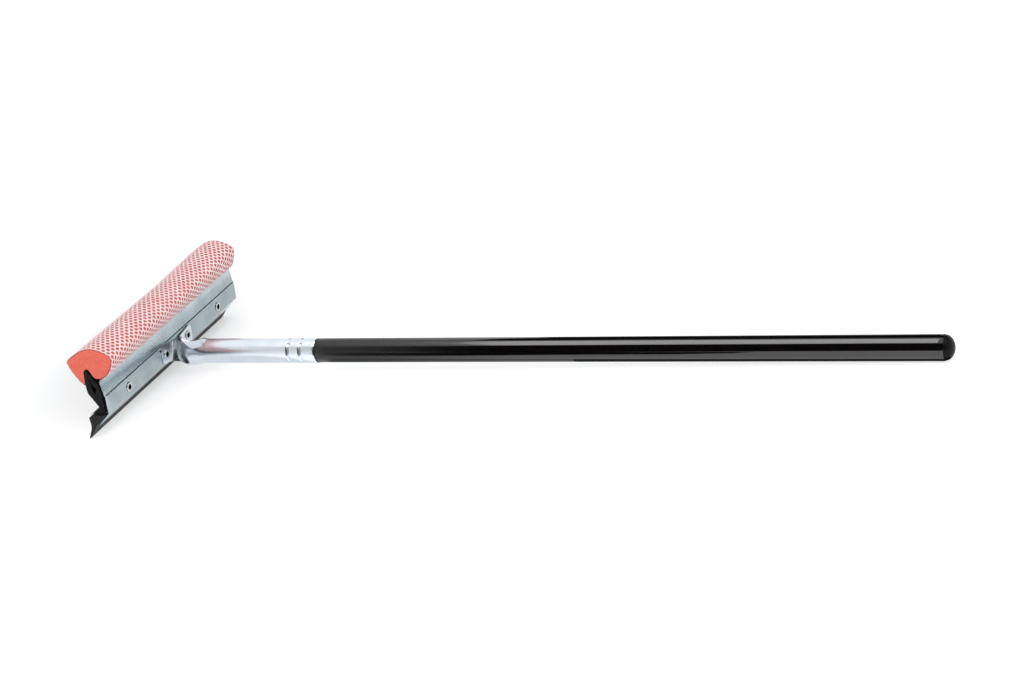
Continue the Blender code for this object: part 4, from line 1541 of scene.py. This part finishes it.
@dataclass
class BackPlate:
    """The zinc plate, bent with a lip at the blade and a joggle above the rivets."""

    path: Pairs = ((9.55, 9.05), (21.02, 19.03), (22.28, 33.07), (21.57, 34.14), (20.93, 45.62))
    thickness: float = 0.8 * MM
    length: float = 203.2 * MM
    bend_radius: float = 0.9 * MM
    bend_steps: int = 6
    sheared_edge: float = 0.14 * MM
    edge_angle: float = 60.0
    station_spacing: float = 1.6 * MM
    # the sheared top edge runs a little unevenly
    wave: float = 0.16 * MM
    wave_length: float = 11 * MM
    wave_reach: float = 6 * MM
    wave_seed: float = 5.0

    def build(self) -> bpy.types.Mesh:
        """Bends the plate.

        Returns:
            The mesh, in the tool's frame.
        """
        back = bent(points_mm(self.path), self.bend_radius, self.bend_steps)
        front = offset(back, self.thickness)
        count = round(self.length / self.station_spacing)
        top = back[-1].y
        points = []
        for station in range(count + 1):
            along = self.length * (station / count - 0.5)
            wave = noise.noise(Vector((along / self.wave_length, self.wave_seed, 0.0))) * self.wave
            for point in back + front[::-1]:
                share = max(0.0, 1 - (top - point.y) / self.wave_reach)
                points.append(Vector((point.x, along, point.y + wave * share)))
        half = len(back)
        size = half * 2
        faces = tube_faces(count + 1, size)
        for start in (0, count * size):
            faces += [[start + index, start + index + 1, start + size - 2 - index, start + size - 1 - index]
                      for index in range(half - 1)]
        return mesh_of("plate", points, faces)

    def dress(self, material: bpy.types.Material) -> bpy.types.Object:
        """Puts the plate in the scene.

        Args:
            material: its finish.

        Returns:
            The plate.
        """
        piece = piece_from("joggled_plate", self.build(), material, "back_plate")
        for along in sorted(place.along for place in RIVETS):
            ROW.drill(piece, along)
        modify(piece, "edge", "BEVEL", width=self.sheared_edge, segments=2, limit_method="ANGLE",
               angle_limit=math.radians(self.edge_angle))
        return piece


# Pieces carried over


@dataclass
class CarriedOver:
    """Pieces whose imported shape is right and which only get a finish."""

    nodes: Mapping[str, bpy.types.Object]
    sheet: bpy.types.Material

    def dress(self) -> list[bpy.types.Object]:
        """Gives each piece its finish.

        Returns:
            The pieces.
        """
        blade = Rubber("extruded_black_rubber", "0A0A0A", "141412", 0.55, 0.3).build()
        core = Rubber("folded_black_rubber", "0B0A0B", "141213", 0.65, 0.22).build()
        # its flange behind the plate carries painted shade
        retainer = FlangeShadedSheet().build()
        finishes = {"blade_retainer": retainer, "front_bar": self.sheet, "blade": blade, "sponge_core": core}
        for name, material in finishes.items():
            self.nodes[name].data.materials.clear()
            self.nodes[name].data.materials.append(material)
        return [self.nodes[name] for name in finishes]


# The studio


@dataclass(frozen=True)
class Card:
    """A card that only reflections see; one whose corners have two figures lies just over the floor."""

    name: str
    colour: str
    corners: tuple[tuple[float, ...], ...]
    strength: float = 1.0
    floor_gap: float = 0.4 * MM

    def stand(self) -> None:
        """Stands the card in the studio."""
        corners = [Vector((*corner, self.floor_gap)[:3]) for corner in self.corners]
        card = placed(self.name, mesh_of(self.name, corners, [list(range(len(corners)))]))
        card.visible_camera = card.visible_diffuse = card.visible_shadow = False
        card.data.materials.append(LitCard(self.name + "_surface", self.colour, self.strength).build())


CARDS = (
    Card("softbox_face", "FFFFFF", ((-0.23, -0.545, 1.2), (0.73, -0.545, 1.2), (0.73, 0.305, 1.2),
                                    (-0.23, 0.305, 1.2)), 3.6),
    Card("flag_front", "101010", ((-0.21, -1.0, 0.0), (1.6, -1.0, 0.0), (1.6, -1.0, 1.9),
                                  (-0.85, -1.0, 1.9))),
    Card("flag_on_floor", "101010", ((0.145, -0.036), (0.25, -0.031), (0.34, -0.036), (0.42, -0.035),
                                     (0.46, -0.05), (0.46, -0.12), (0.37, -0.26), (0.26, -0.41),
                                     (0.0, -0.98), (-0.30, -0.98), (-0.30, -0.74))),
    # painted shadow: grey cards lying on the floor under the handle and by the ferrule, seen only in
    # reflections, for the handle's shadow on the floor
    Card("painted_handle_shadow_card", "4C4C4C", ((0.35, -0.009), (0.45, -0.008), (0.62, -0.007), (0.62, 0.06),
                                         (0.35, 0.06))),
    Card("painted_ferrule_shadow_card", "B0B0B0", ((0.15, -0.015), (0.35, -0.009), (0.35, 0.06), (0.15, 0.06))),
    Card("flag_behind_plate", "282C30", ((0.15, 0.45, 0.08), (0.6, 0.45, 0.14), (0.6, 0.45, 0.42),
                                         (0.15, 0.45, 0.34))),
    Card("flag_by_plate", "E8E8E8", ((0.03, -0.06), (0.06, -0.06), (0.10, -0.03), (0.145, 0.0), (0.2, 0.3),
                                     (0.03, 0.3))),
    Card("flag_back", "101010", ((-0.2, 1.2, 0.62), (1.6, 1.2, 0.62), (1.6, 1.2, 2.6), (-0.9, 1.2, 2.6))),
    Card("flag_left", "202428", ((-1.2, -0.45, 0.05), (-1.2, 1.2, 0.05), (-1.2, 1.2, 1.3),
                                 (-1.2, -0.45, 1.3))),
)


@dataclass
class Studio:
    """The white floor, the lights, the cards and the camera."""

    floor_half: float = 6.0
    floor_drop: float = 0.1 * MM
    key_size: float = 0.9
    key_spot: Spot = (0.85, -0.75, 1.1)
    key_target: Spot = (0.1, 0.0, 0.03)
    key_radiance: float = 2.6
    fill: float = 0.92
    camera_spot: Spot = (812.02, -1114.0, 571.79)
    camera_right: Spot = (0.925899, 0.336543, -0.171607)
    camera_up: Spot = (0.005782, 0.441584, 0.897201)
    camera_back: Spot = (0.377726, -0.831710, 0.406917)
    lens: float = 65.12
    sensor: float = 36.0

    def floor(self) -> None:
        """Lays the floor, which keeps the object's shadow."""
        corners = [Vector((x, y, 0.0)) * self.floor_half for x, y in ((-1, -1), (1, -1), (1, 1), (-1, 1))]
        floor = placed("floor", mesh_of("floor", corners, [[0, 1, 2, 3]]))
        floor.location.z = -self.floor_drop
        floor.data.materials.append(WhitePaper().build())

    def world(self) -> None:
        """A white room: white to the eye and in reflections, and a moderate fill on the object."""
        world = bpy.data.worlds.new("studio")
        bpy.context.scene.world = world
        world.use_nodes = True
        world.node_tree.nodes.clear()
        add = partial(add_node, world.node_tree)
        fill = add("Background", {"Color": linear("F4F7FA"), "Strength": self.fill})
        white = add("Background", {"Color": linear("FFFFFF"), "Strength": 1.0})
        mixed = add("MixShader", links={0: seen_directly(add), 1: fill, 2: white})
        add("OutputWorld", links={"Surface": mixed})

    def key(self) -> None:
        """Hangs the key light at the right, in front, which lights but isn't seen in reflections."""
        lamp = bpy.data.lights.new("key", "AREA")
        lamp.size = self.key_size
        lamp.energy = self.key_radiance * math.pi * self.key_size ** 2
        box = placed("key", lamp)
        box.location = self.key_spot
        away = Vector(self.key_spot) - Vector(self.key_target)
        box.rotation_euler = away.to_track_quat("Z", "Y").to_euler()
        box.visible_glossy = False

    def camera(self) -> None:
        """Sets the camera where the photograph was taken from."""
        data = bpy.data.cameras.new("camera")
        data.lens, data.sensor_width = self.lens, self.sensor
        data.clip_start, data.clip_end = 0.01, 100.0
        camera = placed("camera", data)
        turn = Matrix((self.camera_right, self.camera_up, self.camera_back)).transposed().to_4x4()
        turn.translation = Vector(self.camera_spot) * MM
        camera.matrix_world = ToolFrame().matrix() @ turn
        bpy.context.scene.camera = camera

    def build(self) -> None:
        """Sets up the whole studio."""
        self.floor()
        self.world()
        self.key()
        for card in CARDS:
            card.stand()
        self.camera()
        bpy.context.scene.view_settings.view_transform = "Standard"


def report(*pieces: bpy.types.Object) -> None:
    """Reports pieces in the log."""
    for piece in pieces:
        LOG.info("%s: %d faces", piece.name, len(piece.data.polygons))


def main() -> None:
    """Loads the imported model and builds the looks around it."""
    logging.basicConfig(level=logging.INFO, format="%(message)s")
    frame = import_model()
    sheet = ZincSheet().build()
    # painted shade for inside the rivets' bores
    dark = BoreShade().build()
    report(*CarriedOver(frame["nodes"], sheet).dress())
    report(BackPlate().dress(sheet))
    foam = FoamSponge().dress()
    report(foam, NetSleeve().dress(foam))
    report(Ferrule().dress())
    rivet_zinc = ZincTube("bright_zinc_rivet", "E4E8EA", "CFD5D8").build()
    for place in RIVETS:
        report(TubularRivet(place).dress(rivet_zinc, dark))
    report(Handle().dress())
    Studio().build()


if __name__ == "__main__":
    main()
